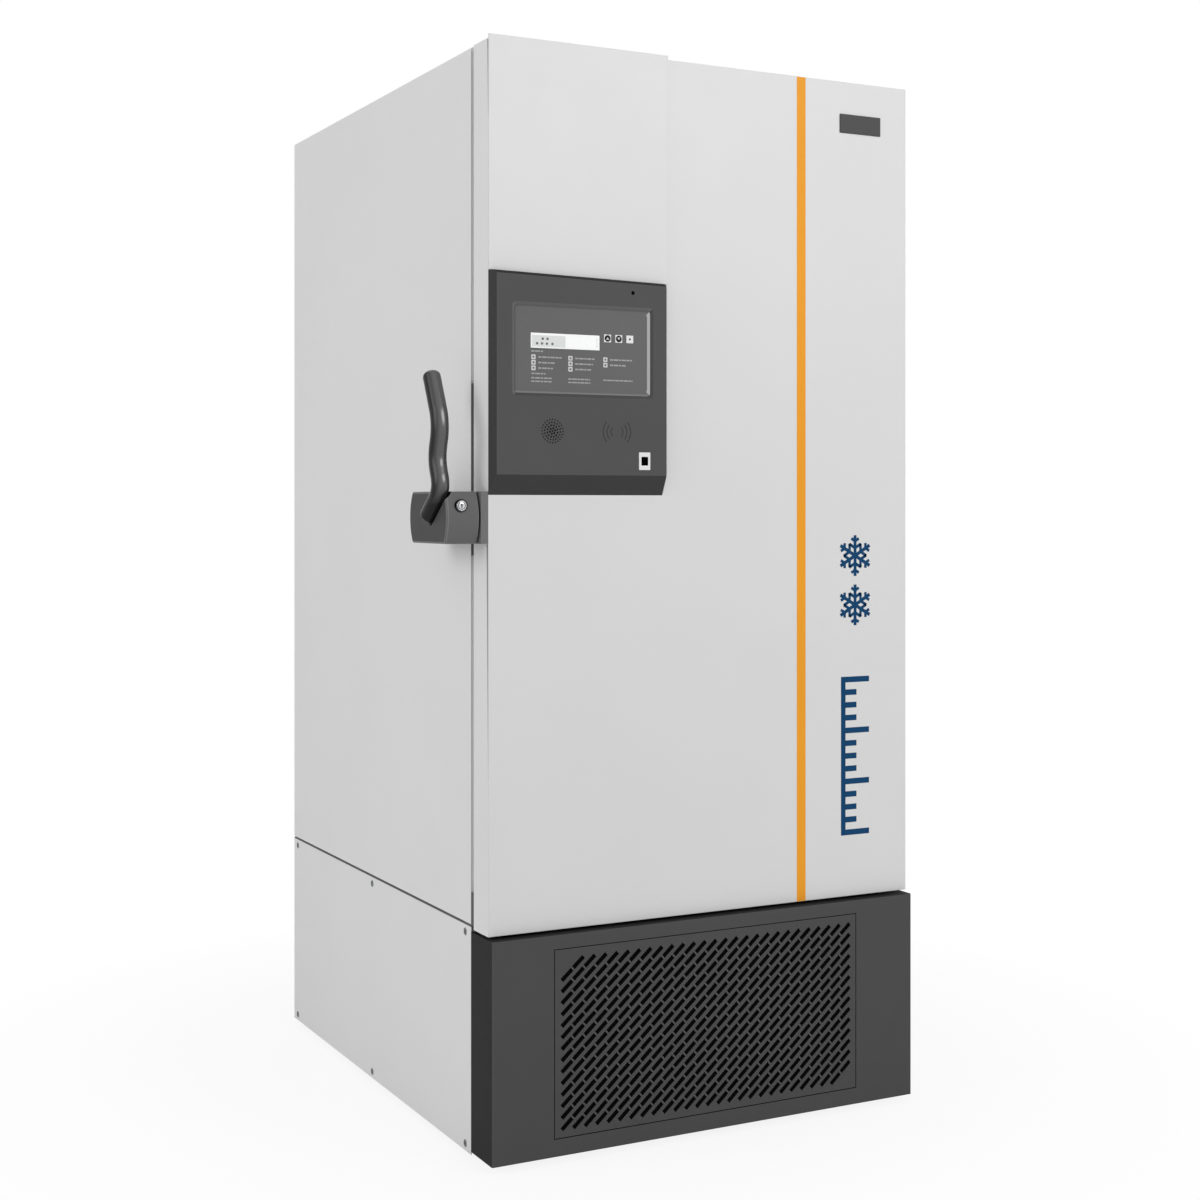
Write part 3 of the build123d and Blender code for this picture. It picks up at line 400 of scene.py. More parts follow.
WHITE = linear(228, 228, 228)
white_paint = surface(
    "white_paint", WHITE, 0.42, mottle=0.01, grain_scale=700, grain=0.04, edge=0.0012
)
# Shade painted on sides and tops, and painted highlights on edges
panel_grey = surface(
    "panel_grey",
    linear(87, 87, 87),
    0.6,
    specular=0.1,
    grain_scale=1500,
    grain=0.25,
    edge=0.0022,
    side_shade=0.52,
    top_shade=0.6,
    edge_light=1.5,
)
# Shade painted on left and top faces, and painted highlights on edges
bezel_grey = surface(
    "bezel_grey",
    linear(83, 83, 83),
    0.6,
    specular=0.05,
    grain_scale=1500,
    grain=0.25,
    edge=0.0014,
    left_shade=0.3,
    top_shade=0.3,
    edge_light=1.6,
)
# Shade painted on left faces, and painted highlights on edges
latch_grey = surface(
    "latch_grey",
    linear(107, 107, 108),
    0.5,
    specular=0.12,
    grain_scale=1200,
    grain=0.2,
    edge=0.0025,
    left_shade=0.38,
    edge_light=2.1,
)
latch_base_grey = surface(
    "latch_base_grey",
    linear(119, 119, 120),
    0.5,
    specular=0.15,
    grain_scale=1200,
    grain=0.2,
    edge=0.001,
)
# Shade painted on the rod's foot, and gloss dulled on its flanks
rod_grey = surface(
    "rod_grey",
    linear(42, 42, 43),
    0.26,
    specular=1.0,
    grain_scale=900,
    grain=0.05,
    coat=0.5,
    side_gloss=0.1,
    foot_shade=0.5,
)
overlay_film = surface(
    "overlay_film", linear(107, 107, 107), 0.5, specular=0.15, grain_scale=2500, grain=0.08
)
# Painted shine, sheen and shade for the overlay's border and the slopes round it
overlay_shine = surface(
    "overlay_shine", linear(176, 176, 176), 0.4, specular=0.3, mottle=0.05, grain=0.02
)
overlay_sheen = surface(
    "overlay_sheen", linear(126, 126, 126), 0.4, specular=0.2, mottle=0.05, grain=0.02
)
overlay_edge_shade = surface(
    "overlay_edge_shade", linear(96, 96, 96), 0.5, specular=0.1, mottle=0.03, grain=0.03
)
rim_lit = surface("rim_lit", linear(84, 84, 84), 0.6, specular=0.05, mottle=0.03, grain=0.1)
rim_dark = surface("rim_dark", linear(112, 112, 112), 0.6, specular=0.05, mottle=0.03, grain=0.1)
pale_plastic = surface("pale_plastic", linear(240, 240, 240), 0.35, mottle=0.01, grain=0.03)
# The display's face and field glow a little: painted light
display_face = glowing(
    surface("display_face", linear(247, 248, 248), 0.2, mottle=0.01, grain=0.01), 0.14
)
display_grey = glowing(
    surface("display_grey", linear(214, 216, 216), 0.25, mottle=0.02, grain=0.01), 0.10
)
liner_plastic = surface(
    "liner_plastic", linear(232, 232, 230), 0.35, mottle=0.01, grain=0.05, edge=0.0015
)
liner_steel = surface(
    "liner_steel", linear(205, 207, 209), 0.4, mottle=0.02, grain_scale=600, grain=0.05
)
foam = surface("foam", linear(226, 210, 160), 0.9, mottle=0.08, grain_scale=300, grain=0.5)
gasket_rubber = surface(
    "gasket_rubber", linear(210, 212, 214), 0.6, mottle=0.02, grain_scale=900, grain=0.1
)
dark_rubber = surface(
    "dark_rubber", linear(40, 40, 41), 0.7, mottle=0.06, grain_scale=900, grain=0.2
)
zinc = surface(
    "zinc",
    linear(182, 184, 187),
    0.35,
    metallic=1.0,
    mottle=0.06,
    mottle_scale=30,
    grain_scale=500,
    grain=0.08,
)
chrome = surface("chrome", linear(205, 206, 208), 0.14, metallic=1.0, mottle=0.02, grain=0.02)
screw_steel = surface(
    "screw_steel", linear(150, 151, 153), 0.5, specular=0.3, mottle=0.1, mottle_scale=300, grain=0.1
)
lock_steel = surface("lock_steel", linear(96, 97, 99), 0.4, metallic=0.6, mottle=0.06, grain=0.05)
# Greys of painted shadow lines: along the door's left front edge, in the seams above the side
# panels and in the door's gap below the gasket
fold_shadow_grey = surface("fold_shadow_grey", linear(150, 150, 150), 0.6, specular=0.1, mottle=0.03, grain=0.03)
seam_shadow_grey = surface("seam_shadow_grey", linear(104, 104, 104), 0.7, specular=0.05, mottle=0.05, grain=0.05)
black_enamel = surface(
    "black_enamel", linear(26, 26, 27), 0.35, mottle=0.1, grain_scale=500, grain=0.12
)
copper = surface(
    "copper", linear(196, 120, 82), 0.4, metallic=1.0, mottle=0.15, mottle_scale=25, grain=0.06
)
fin_metal = surface(
    "fin_metal",
    linear(190, 192, 195),
    0.45,
    metallic=1.0,
    grain_scale=900,
    grain=0.3,
    stretch=(1, 1, 0.05),
)
black_plastic = surface(
    "black_plastic", linear(20, 20, 20), 0.6, mottle=0.1, grain_scale=900, grain=0.2
)
filter_mesh = surface(
    "filter_mesh",
    linear(6, 6, 6),
    0.9,
    specular=0.05,
    mottle=0.3,
    mottle_scale=200,
    grain_scale=400,
    grain=0.6,
)
board_green = surface(
    "board_green", linear(24, 92, 52), 0.4, mottle=0.1, mottle_scale=60, grain=0.1
)
stripe_orange = surface(
    "stripe_orange", linear(249, 167, 44), 0.4, specular=0.15, mottle=0.02, grain=0.03
)
print_blue = surface("print_blue", linear(8, 66, 108), 0.45, specular=0.12, mottle=0.03, grain=0.03)
print_pale = surface(
    "print_pale", linear(176, 176, 177), 0.5, specular=0.1, mottle=0.03, grain=0.03
)
print_dark = surface("print_dark", linear(34, 34, 35), 0.5, specular=0.1, mottle=0.03, grain=0.03)
print_faint = surface("print_faint", linear(68, 68, 69), 0.5, specular=0.1, mottle=0.03, grain=0.03)
print_mid = surface("print_mid", linear(120, 121, 121), 0.5, specular=0.1, mottle=0.03, grain=0.03)
lamp_pale = surface("lamp_pale", linear(214, 214, 214), 0.4, specular=0.2, mottle=0.02, grain=0.02)
# Black that stands for the shade in holes, gaps, grooves, recesses and the socket: painted shade
hole_shade_black = surface("hole_shade_black", linear(9, 9, 9), 0.9, specular=0.02, mottle=0.05, grain=0.02)

FINISH = {
    white_paint: (
        "outer_cabinet",
        "rear_panel",
        "door_shell",
        "side_panel_left",
        "side_panel_right",
        "lower_rear_panel",
        "column_cover",
    ),
    panel_grey: ("control_housing",),
    bezel_grey: ("base_bezel", "front_grille"),
    latch_grey: ("handle_hub",),
    latch_base_grey: ("latch_base",),
    rod_grey: ("handle_rod",),
    overlay_film: ("control_overlay",),
    pale_plastic: ("key_up", "key_down", "key_set", "service_port"),
    display_face: ("display_window",),
    liner_plastic: ("breaker_frame", "door_liner", "inner_door_lower", "inner_door_upper"),
    liner_steel: ("inner_liner", "shelves"),
    foam: ("cabinet_insulation", "door_insulation"),
    gasket_rubber: ("door_gasket",),
    dark_rubber: (
        "compressor_mounts",
        "front_wheel_left",
        "front_wheel_right",
        "rear_wheel_left",
        "rear_wheel_right",
    ),
    zinc: (
        "base_frame",
        "hinge_brackets",
        "hinge_leaves",
        "hinge_pins",
        "inner_hinge_rod",
        "latch_keeper",
        "caster_fork_left",
        "caster_fork_right",
        "levelling_feet",
        "electrical_box",
        "fan_shroud",
    ),
    lock_steel: ("lock_cylinder",),
    screw_steel: ("panel_screws",),
    black_enamel: (
        "compressor_first_stage",
        "compressor_second_stage",
        "fan_motor",
        "cascade_exchanger",
    ),
    copper: ("evaporator_coil", "refrigerant_pipes", "filter_drier"),
    fin_metal: ("condenser",),
    black_plastic: ("power_inlet", "condenser_fan", "latch_strip"),
    filter_mesh: ("air_filter",),
    board_green: ("control_board",),
}

for finish, names in FINISH.items():
    for name in names:
        mesh = nodes[name].data
        mesh.materials.clear()
        mesh.materials.append(finish)


def new_piece(name, mesh, material, body):
    """A mesh as a piece that rides on a body."""
    mesh.materials.append(material)
    piece = bpy.data.objects.new(name, mesh)
    bpy.context.scene.collection.objects.link(piece)
    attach(piece, body)
    return piece


# Flat outlines, in X and Z
def rectangle(x0, x1, z0, z1):
    return [(x0, z0), (x1, z0), (x1, z1), (x0, z1)]


def round_outline(x, z, radius, count=20):
    steps = [2 * math.pi * i / count for i in range(count)]
    return [(x + radius * math.cos(a), z + radius * math.sin(a)) for a in steps]


def rounded_rectangle(x0, x1, z0, z1, radius, count=6):
    points = []
    corners = ((x1, z0, -90), (x1, z1, 0), (x0, z1, 90), (x0, z0, 180))
    for x, z, start in corners:
        cx = x + (radius if x == x0 else -radius)
        cz = z + (radius if z == z0 else -radius)
        for i in range(count + 1):
            angle = math.radians(start + 90 * i / count)
            points.append((cx + radius * math.cos(angle), cz + radius * math.sin(angle)))
    return points


def arc_band(x, z, radius, width, start, end, count=14):
    """Part of a ring between two angles in degrees."""
    outer = radius + width / 2
    inner = radius - width / 2
    angles = [math.radians(start + (end - start) * i / count) for i in range(count + 1)]
    points = [(x + outer * math.cos(a), z + outer * math.sin(a)) for a in angles]
    return points + [(x + inner * math.cos(a), z + inner * math.sin(a)) for a in reversed(angles)]


def prisms(name, outlines, y_front, y_back, material, body):
    """Flat prints: each outline becomes a closed plate between two planes."""
    mesh = bpy.data.meshes.new(name)
    work = bmesh.new()
    for outline in outlines:
        near = [work.verts.new((x, y_front, z)) for x, z in outline]
        far = [work.verts.new((x, y_back, z)) for x, z in outline]
        work.faces.new(near)
        work.faces.new(list(reversed(far)))
        for i in range(len(outline)):
            j = (i + 1) % len(outline)
            work.faces.new((near[j], near[i], far[i], far[j]))
    bmesh.ops.recalc_face_normals(work, faces=work.faces)
    work.to_mesh(mesh)
    work.free()
    return new_piece(name, mesh, material, body)


def print_on(name, outlines, plane, material, body="door"):
    """A print on a front that lies in one plane."""
    return prisms(name, outlines, plane - PRINT_RISE, plane + PRINT_SINK, material, body)


def bevelled_plate(name, outline, y_front, y_back, bevel, material, body):
    """A plate whose front edge is rounded off."""
    piece = prisms(name, [outline], y_front, y_back, material, body)
    work = bmesh.new()
    work.from_mesh(piece.data)
    rim = [e for e in work.edges if all(abs(v.co.y - y_front) < 1e-7 for v in e.verts)]
    bmesh.ops.bevel(work, geom=rim, offset=bevel, segments=3, affect="EDGES")
    work.to_mesh(piece.data)
    work.free()
    return piece


door_low, door_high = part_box("door_shell")
door_left = door_low.x
door_face = door_low.y
panel_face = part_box("control_housing")[0].y
overlay_low, overlay_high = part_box("control_overlay")
overlay_face = overlay_low.y
window_low, window_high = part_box("display_window")


# Prints on the door
def snowflake(x, z, reach):
    """A six-armed ice crystal as one outline."""
    half = FLAKE_ARM * reach
    twig = FLAKE_TWIG * reach
    slope = math.radians(60)
    along = Vector((math.cos(slope), math.sin(slope)))
    across = Vector((math.sin(slope), -math.cos(slope)))
    side = [Vector((half / math.tan(math.radians(30)), half))]
    for root, length in FLAKE_TWIGS:
        base = Vector((root * reach, half))
        tip = base + along * length * reach
        side += [base, tip, tip + across * twig, base + Vector((twig / math.sin(slope), 0))]
    side.append(Vector((reach, half)))
    arm = [Vector((p.x, -p.y)) for p in side] + [p for p in reversed(side)]
    points = []
    for turn in range(6):
        angle = math.radians(90 + 60 * turn)
        c, s = math.cos(angle), math.sin(angle)
        for p in arm[:-1]:
            points.append((x + c * p.x - s * p.y, z + s * p.x + c * p.y))
    return points


def tick_scale(x0, x1, z0, z1, count):
    """A thermometer's scale: a spine with long and short ticks."""
    spine = SCALE_SPINE * (x1 - x0)
    thick = TICK_THICKNESS
    pitch = (z1 - z0 - thick) / (count - 1)
    points = [(x0, z0)]
    for i in range(count):
        reach = x1 if i % LONG_TICK_EVERY == 0 else x0 + SHORT_TICK * (x1 - x0)
        low = z0 + i * pitch
        points += [(reach, low), (reach, low + thick)]
        if i < count - 1:
            points += [(x0 + spine, low + thick), (x0 + spine, low + pitch)]
    points.append((x0, z1))
    return points


def side_print(name, outlines, plane, material, body="door"):
    """A print on a left side, with outlines in Y and Z."""
    piece = prisms(name, outlines, plane - PRINT_RISE, plane + PRINT_SINK, material, body)
    for vertex in piece.data.vertices:
        x, y, z = vertex.co
        vertex.co = (y, x, z)
    piece.data.flip_normals()
    return piece


# Painted shadow: a grey line along the door's left front edge
fold_shadow_y = door_face + FOLD_SHADOW_INSET
fold_shadows = [
    [(fold_shadow_y, top), (fold_shadow_y + width, top), (fold_shadow_y, end)] for top, end, width in FOLD_SHADOW_STRETCHES
]
side_print("door_fold_shadow", fold_shadows, door_left, fold_shadow_grey)
stripe_x0 = door_left + STRIPE_LEFT
stripe = rectangle(
    stripe_x0, stripe_x0 + STRIPE_WIDTH, door_low.z + STRIPE_MARGIN, door_high.z - STRIPE_MARGIN
)
print_on("door_stripe", [stripe], door_face, stripe_orange)
mark_x0 = door_left + MARK_LEFT
mark_x1 = mark_x0 + MARK_WIDTH
flake_x = (mark_x0 + mark_x1) / 2
flakes = [snowflake(flake_x, level, FLAKE_REACH * MARK_WIDTH) for level in FLAKE_LEVELS]
print_on("door_snowflake", flakes, door_face, print_blue)
scale = tick_scale(mark_x0, mark_x1, SCALE_BOTTOM, SCALE_BOTTOM + SCALE_HEIGHT, SCALE_TICKS)
print_on("door_scale", [scale], door_face, print_blue)
badge_x0 = door_left + BADGE_LEFT
badge_z1 = BADGE_BOTTOM + BADGE_HEIGHT
bevelled_plate(
    "badge_plate",
    rounded_rectangle(badge_x0, badge_x0 + BADGE_WIDTH, BADGE_BOTTOM, badge_z1, BADGE_CORNER),
    door_face - BADGE_RISE,
    door_face + PRINT_SINK,
    BADGE_EDGE,
    panel_grey,
    "door",
)


# Prints on the control panel
def dashes(x, width, z, half):
    """A broken line in the place of a line of print."""
    outlines = []
    end = x + width
    step = 0
    while x < end - SHORTEST_DASH:
        stop = min(end, x + DASHES[step % len(DASHES)])
        outlines.append(rectangle(x, stop, z - half, z + half))
        x = stop + DASH_GAP
        step += 1
    return outlines


def lamps_and_lines():
    """Pale lamp squares, each with a short line beside it, and loose lines below."""
    lamps = []
    glyphs = []
    lines = []
    half = LAMP_SIZE / 2
    for column, widths in zip(LAMP_COLUMNS, LAMP_LINES):
        x = door_left + column
        for row, width in enumerate(widths):
            z = LAMP_TOP - row * LAMP_PITCH
            lamps.append(rounded_rectangle(x - half, x + half, z - half, z + half, LAMP_CORNER, 3))
            glyphs.append(round_outline(x, z, LAMP_GLYPH, count=10))
            lines += dashes(x + LAMP_LINE_START, width, z, LAMP_LINE_HALF)
    low = LAMP_TOP - 3 * LAMP_PITCH
    x = door_left + LAMP_COLUMNS[0] - half
    lines += dashes(x, TITLE_LENGTH, LAMP_TOP + TITLE_RISE, LINE_HALF)
    lines += dashes(x, NOTE_LENGTH, low, LINE_HALF)
    for column, width in zip(LAMP_COLUMNS, LOOSE_LINES):
        x = door_left + column - half
        for row in range(2 if column != LAMP_COLUMNS[-1] else 1):
            z = low - LOOSE_DROP - row * LOOSE_PITCH
            lines += dashes(x, width, z, LINE_HALF)
    return lamps, glyphs, lines


lamps, glyphs, lines = lamps_and_lines()
print_on("overlay_lamps", lamps, overlay_face, lamp_pale)
print_on("overlay_lamp_glyphs", glyphs, overlay_face - PRINT_RISE, print_mid)
print_on("overlay_lines", lines, overlay_face, print_pale)

window_face = window_low.y
window_width = window_high.x - window_low.x
window_height = window_high.z - window_low.z
field_top = window_high.z - DISPLAY_TOP_MARGIN
fields = [
    rectangle(
        window_low.x + DISPLAY_MARGIN,
        window_low.x + DISPLAY_SPLIT * window_width,
        window_low.z + DISPLAY_MARGIN,
        field_top,
    ),
    rectangle(
        window_high.x - DISPLAY_BAR[0],
        window_high.x - DISPLAY_BAR[1],
        window_low.z + DISPLAY_TOP_MARGIN,
        field_top,
    ),
]
print_on("display_field", fields, window_face, display_grey)
icons = []
for level, places in DISPLAY_ICON_ROWS:
    z = window_low.z + level * window_height
    for place in places:
        x = window_low.x + place * window_width
        icons.append(round_outline(x, z, DISPLAY_ICON, count=10))
print_on("display_icons", icons, window_face - PRINT_RISE, print_mid)


def key_print(node, body, sign):
    """A dark disc on a key with a pale arrow that points up or down, or a dot."""
    low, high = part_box(node)
    x = (low.x + high.x) / 2
    z = (low.z + high.z) / 2
    size = high.x - low.x
    if sign == 0:
        dot = round_outline(x, z, KEY_DOT * size, count=12)
        print_on(f"{node}_mark", [dot], low.y, print_dark, body)
        return
    disc = round_outline(x, z, KEY_DISC * size)
    print_on(f"{node}_mark", [disc], low.y, print_dark, body)
    tall = ARROW_HALF_HEIGHT * size * sign
    wide = ARROW_HALF_WIDTH * size
    arrow = [(x - wide, z - tall), (x + wide, z - tall), (x, z + tall)]
    arrow = arrow if sign > 0 else list(reversed(arrow))
    print_on(f"{node}_arrow", [arrow], low.y - PRINT_RISE, lamp_pale, body)


key_print("key_up", "up_key", 1)
key_print("key_down", "down_key", -1)
key_print("key_set", "set_key", 0)

# Buzzer holes and the pinhole are black prints: painted shade in place of holes
buzzer_x = door_left + BUZZER_FROM_LEFT
holes = [round_outline(buzzer_x, BUZZER_LEVEL, BUZZER_MIDDLE_HOLE, count=8)]
for ring in range(1, BUZZER_RINGS + 1):
    for i in range(6 * ring):
        angle = 2 * math.pi * (i + BUZZER_RING_TURN * ring) / (6 * ring)
        radius = BUZZER_RING_STEP * ring
        x = buzzer_x + radius * math.cos(angle)
        z = BUZZER_LEVEL + radius * math.sin(angle)
        holes.append(round_outline(x, z, BUZZER_HOLE - BUZZER_HOLE_TAPER * ring, count=8))
print_on("buzzer_holes", holes, panel_face, hole_shade_black)
reader_x = door_left + READER_FROM_LEFT
waves = []
for side in (0, 180):
    for step in range(WAVES):
        radius = WAVE_FIRST + WAVE_STEP * step
        start, end = side - WAVE_SPREAD, side + WAVE_SPREAD
        waves.append(arc_band(reader_x, READER_LEVEL, radius, WAVE_LINE, start, end))
print_on("reader_mark", waves, panel_face, print_faint)
pinhole = round_outline(door_left + PINHOLE_FROM_LEFT, PINHOLE_LEVEL, PINHOLE_RADIUS, count=14)
print_on("pinhole", [pinhole], panel_face, hole_shade_black)


# Painted shine and shade on the recess round the overlay and on its border
def ribbon(name, inner, outer, y_inner, y_outer, material):
    """A thin strip between two outlines that lie at different depths."""
    mesh = bpy.data.meshes.new(name)
    work = bmesh.new()
    rows = []
    for lift in (-PRINT_RISE, PRINT_SINK):
        near = [work.verts.new((x, y_inner + lift, z)) for x, z in inner]
        far = [work.verts.new((x, y_outer + lift, z)) for x, z in outer]
        rows.append((near, far))
    (a, b), (c, d) = rows
    last = len(inner) - 1
    for i in range(last):
        work.faces.new((a[i], a[i + 1], b[i + 1], b[i]))
        work.faces.new((c[i], d[i], d[i + 1], c[i + 1]))
        work.faces.new((a[i], c[i], c[i + 1], a[i + 1]))
        work.faces.new((b[i], b[i + 1], d[i + 1], d[i]))
    work.faces.new((a[0], b[0], d[0], c[0]))
    work.faces.new((a[last], c[last], d[last], b[last]))
    bmesh.ops.recalc_face_normals(work, faces=work.faces)
    work.to_mesh(mesh)
    work.free()
    return new_piece(name, mesh, material, "door")


def rim_outlines(grow, first, last):
    """Part of the overlay's outline, grown or drawn in.

    Each corner has seven points, from the lower right corner anticlockwise.
    """
    x0, x1 = overlay_low.x - grow, overlay_high.x + grow
    z0, z1 = overlay_low.z - grow, overlay_high.z + grow
    points = rounded_rectangle(x0, x1, z0, z1, RIM_CORNER)
    return (points + points)[first:last]


def rim_slope(name, first, last, material):
    """A stretch of the slope round the overlay, in a painted lit or shaded tone."""
    inner = rim_outlines(0, first, last)
    outer = rim_outlines(RIM_WIDTH, first, last)
    ribbon(name, inner, outer, overlay_face, panel_face, material)


def rim_band(name, first, last, width, material):
    """A stretch of the overlay's border, in a painted shine or shade."""
    inner = rim_outlines(-width, first, last)
    outer = rim_outlines(-RIM_MARGIN, first, last)
    print_on(name, [outer + list(reversed(inner))], overlay_face, material)


rim_slope("overlay_lit_slopes", 25, 39, rim_lit)
rim_slope("overlay_dark_slopes", 10, 26, rim_dark)
rim_band("overlay_right_shine", 3, 11, SHINE_WIDTH, overlay_shine)
rim_band("overlay_left_edge_shade", 11, 25, EDGE_SHADE_WIDTH, overlay_edge_shade)
rim_band("overlay_bottom_sheen", 24, 31, SHEEN_WIDTH, overlay_sheen)

# Dark lining of the service socket: painted shade inside it
port_low, port_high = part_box("service_port")
port_x = (port_low.x + port_high.x) / 2
port_z = (port_low.z + port_high.z) / 2
x0, x1 = port_x - SOCKET_WIDTH / 2, port_x + SOCKET_WIDTH / 2
z0, z1 = port_z - SOCKET_HEIGHT / 2, port_z + SOCKET_HEIGHT / 2
lining = [
    rectangle(x0 - SOCKET_WALL, x0 + SOCKET_WALL, z0, z1),
    rectangle(x1 - SOCKET_WALL, x1 + SOCKET_WALL, z0, z1),
    rectangle(x0, x1, z0 - SOCKET_WALL, z0 + SOCKET_WALL),
    rectangle(x0, x1, z1 - SOCKET_WALL, z1 + SOCKET_WALL),
]
socket_end = port_low.y + SOCKET_DEPTH
lining_start = port_low.y - PRINT_RISE
prisms("port_lining", lining, lining_start, socket_end, hole_shade_black, "door")
contacts = [rectangle(x0, x1, z0, z1)]
contact_face = socket_end - CONTACT_RISE
prisms("port_contacts", contacts, contact_face, socket_end, hole_shade_black, "door")


# Painted shadow: dark lines in the gap round the grille and in the seams above the side panels
grille_low, grille_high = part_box("front_grille")
bezel_low, bezel_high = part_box("base_bezel")
x0, x1 = grille_low.x - GRILLE_GAP, grille_high.x + GRILLE_GAP
z0, z1 = grille_low.z - GRILLE_GAP, grille_high.z + GRILLE_GAP
gap_shadows = [
    rectangle(x0 - GAP_SHADOW_WIDTH, x0, z0, z1),
    rectangle(x1, x1 + GAP_SHADOW_WIDTH, z0, z1),
    rectangle(x0 - GAP_SHADOW_WIDTH, x1 + GAP_SHADOW_WIDTH, z0 - GAP_SHADOW_WIDTH, z0),
    rectangle(x0 - GAP_SHADOW_WIDTH, x1 + GAP_SHADOW_WIDTH, z1, z1 + GAP_SHADOW_WIDTH),
]
print_on("grille_gap_shadow", gap_shadows, bezel_low.y, hole_shade_black, "cabinet")


# Grille with its slots at the photograph's slant and pitch
def slot_outlines(x_mid, z_mid):
    """Slanting slots in rows and columns. Two opposite corners have none."""
    along = Vector((math.cos(SLOT_SLANT), math.sin(SLOT_SLANT))) * SLOT_LENGTH / 2
    across = Vector((-math.sin(SLOT_SLANT), math.cos(SLOT_SLANT))) * SLOT_WIDTH / 2
    bare = ((SLOT_ROWS - 1, 0), (0, SLOT_COLUMNS - 1))
    outlines = []
    for row in range(SLOT_ROWS):
        for column in range(SLOT_COLUMNS):
            if (row, column) in bare:
                continue
            x = x_mid + (column - (SLOT_COLUMNS - 1) / 2) * SLOT_PITCH_X
            z = z_mid + (row - (SLOT_ROWS - 1) / 2) * SLOT_PITCH_Z
            start = Vector((x, z)) - along
            end = Vector((x, z)) + along
            outlines.append([start - across, end - across, end + across, start + across])
    return outlines


def slotted_grille():
    """A plate with slots and a skirt folded back round its edge, as one closed shell."""
    low, high = grille_low, grille_high
    plate_back = low.y + GRILLE_PLATE
    border = rectangle(low.x, high.x, low.z, high.z)
    inside = rectangle(
        low.x + GRILLE_SKIRT, high.x - GRILLE_SKIRT, low.z + GRILLE_SKIRT, high.z - GRILLE_SKIRT
    )
    slots = slot_outlines((low.x + high.x) / 2, (low.z + high.z) / 2 - SLOT_DROP)
    work = bmesh.new()

    def loops(outlines, y):
        """Closed loops of points at one depth, with the face between them filled in."""
        rings = [[work.verts.new((x, y, z)) for x, z in outline] for outline in outlines]
        edges = [work.edges.new(pair) for ring in rings for pair in zip(ring, ring[1:] + ring[:1])]
        bmesh.ops.triangle_fill(work, use_beauty=True, edges=edges, normal=(0, -1, 0))
        return rings

    def wall(near, far):
        for i in range(len(near)):
            j = (i + 1) % len(near)
            work.faces.new((near[i], near[j], far[j], far[i]))

    front = loops([border] + slots, low.y)
    back = loops([inside] + slots, plate_back)
    rim = loops([border, inside], high.y)
    wall(front[0], rim[0])
    wall(back[0], rim[1])
    for near, far in zip(front[1:], back[1:]):
        wall(near, far)
    bmesh.ops.recalc_face_normals(work, faces=work.faces)
    mesh = bpy.data.meshes.new("slotted_grille")
    work.to_mesh(mesh)
    work.free()
    piece = new_piece("slotted_grille", mesh, bezel_grey, "grille")
    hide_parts("front_grille")


slotted_grille()
case_low, case_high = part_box("outer_cabinet")
side_low, side_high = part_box("side_panel_left")
# Painted shadow: grey strips set into the seams above the side panels
seam_shadows = [
    rectangle(case_low.x + SEAM_SHADOW_DEPTH, case_low.x + 2 * SEAM_SHADOW_DEPTH, side_high.z, case_low.z),
    rectangle(case_high.x - 2 * SEAM_SHADOW_DEPTH, case_high.x - SEAM_SHADOW_DEPTH, side_high.z, case_low.z),
]
prisms("side_seam_shadows", seam_shadows, side_low.y, side_high.y, seam_shadow_grey, "cabinet")
# Painted shadow: a dark strip in the door's gap below the gasket, in line with the latch strip
strip_low, strip_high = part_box("latch_strip")
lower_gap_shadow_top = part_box("door_gasket")[0].z + LOWER_SHADOW_RISE
lower_gap_shadow_outline = [rectangle(strip_low.x, strip_high.x, case_low.z, lower_gap_shadow_top)]
prisms(
    "lower_gap_shadow",
    lower_gap_shadow_outline,
    strip_low.y,
    strip_high.y,
    seam_shadow_grey,
    "cabinet",
)


# Lock face with painted shade in its groove and keyway, and a black ring round the lock as painted
# shadow
def turned(name, profile, x, z, material, body, count=32, smooth=True):
    """A closed profile of radius and depth, turned about an axis along Y."""
    mesh = bpy.data.meshes.new(name)
    work = bmesh.new()
    rings = []
    for radius, y in profile:
        if radius == 0:
            rings.append([work.verts.new((x, y, z))])
            continue
        outline = round_outline(x, z, radius, count)
        rings.append([work.verts.new((px, y, pz)) for px, pz in outline])
    for a, b in zip(rings, rings[1:]):
        for i in range(count):
            j = (i + 1) % count
            corners = {a[i % len(a)]: 0, a[j % len(a)]: 0, b[j % len(b)]: 0, b[i % len(b)]: 0}
            if len(corners) > 2:
                work.faces.new(list(corners))
    bmesh.ops.recalc_face_normals(work, faces=work.faces)
    for face in work.faces:
        face.smooth = smooth
    work.to_mesh(mesh)
    work.free()
    return new_piece(name, mesh, material, body)


lock_low, lock_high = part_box("lock_cylinder")
lock_x = (lock_low.x + lock_high.x) / 2
lock_z = (lock_low.z + lock_high.z) / 2
lock_y = lock_low.y
LOCK_FACE = (
    (0.0, 0.0001),
    (0.0084, 0.0001),
    (0.0086, -0.0008),
    (0.0081, -0.0014),
    (0.0074, -0.0012),
    (0.0070, -0.0004),
    (0.0062, -0.0004),
    (0.0053, -0.0012),
    (0.0030, -0.0008),
    (0.0, -0.0007),
)
# Black ring in the face's groove: painted shade. Black ring round the lock: painted shadow
LOCK_GROOVE_SHADE = ((0.0060, -0.0003), (0.0060, -0.0006), (0.0071, -0.0006), (0.0071, -0.0003))
LOCK_SHADOW_RING = ((0.0101, 0.0060), (0.0101, 0.0006), (0.0113, 0.0006), (0.0113, 0.0060))
KEYWAY_HALF_WIDTH = 0.0009
KEYWAY_HALF_HEIGHT = 0.0046
KEYWAY_RISE = 0.0013


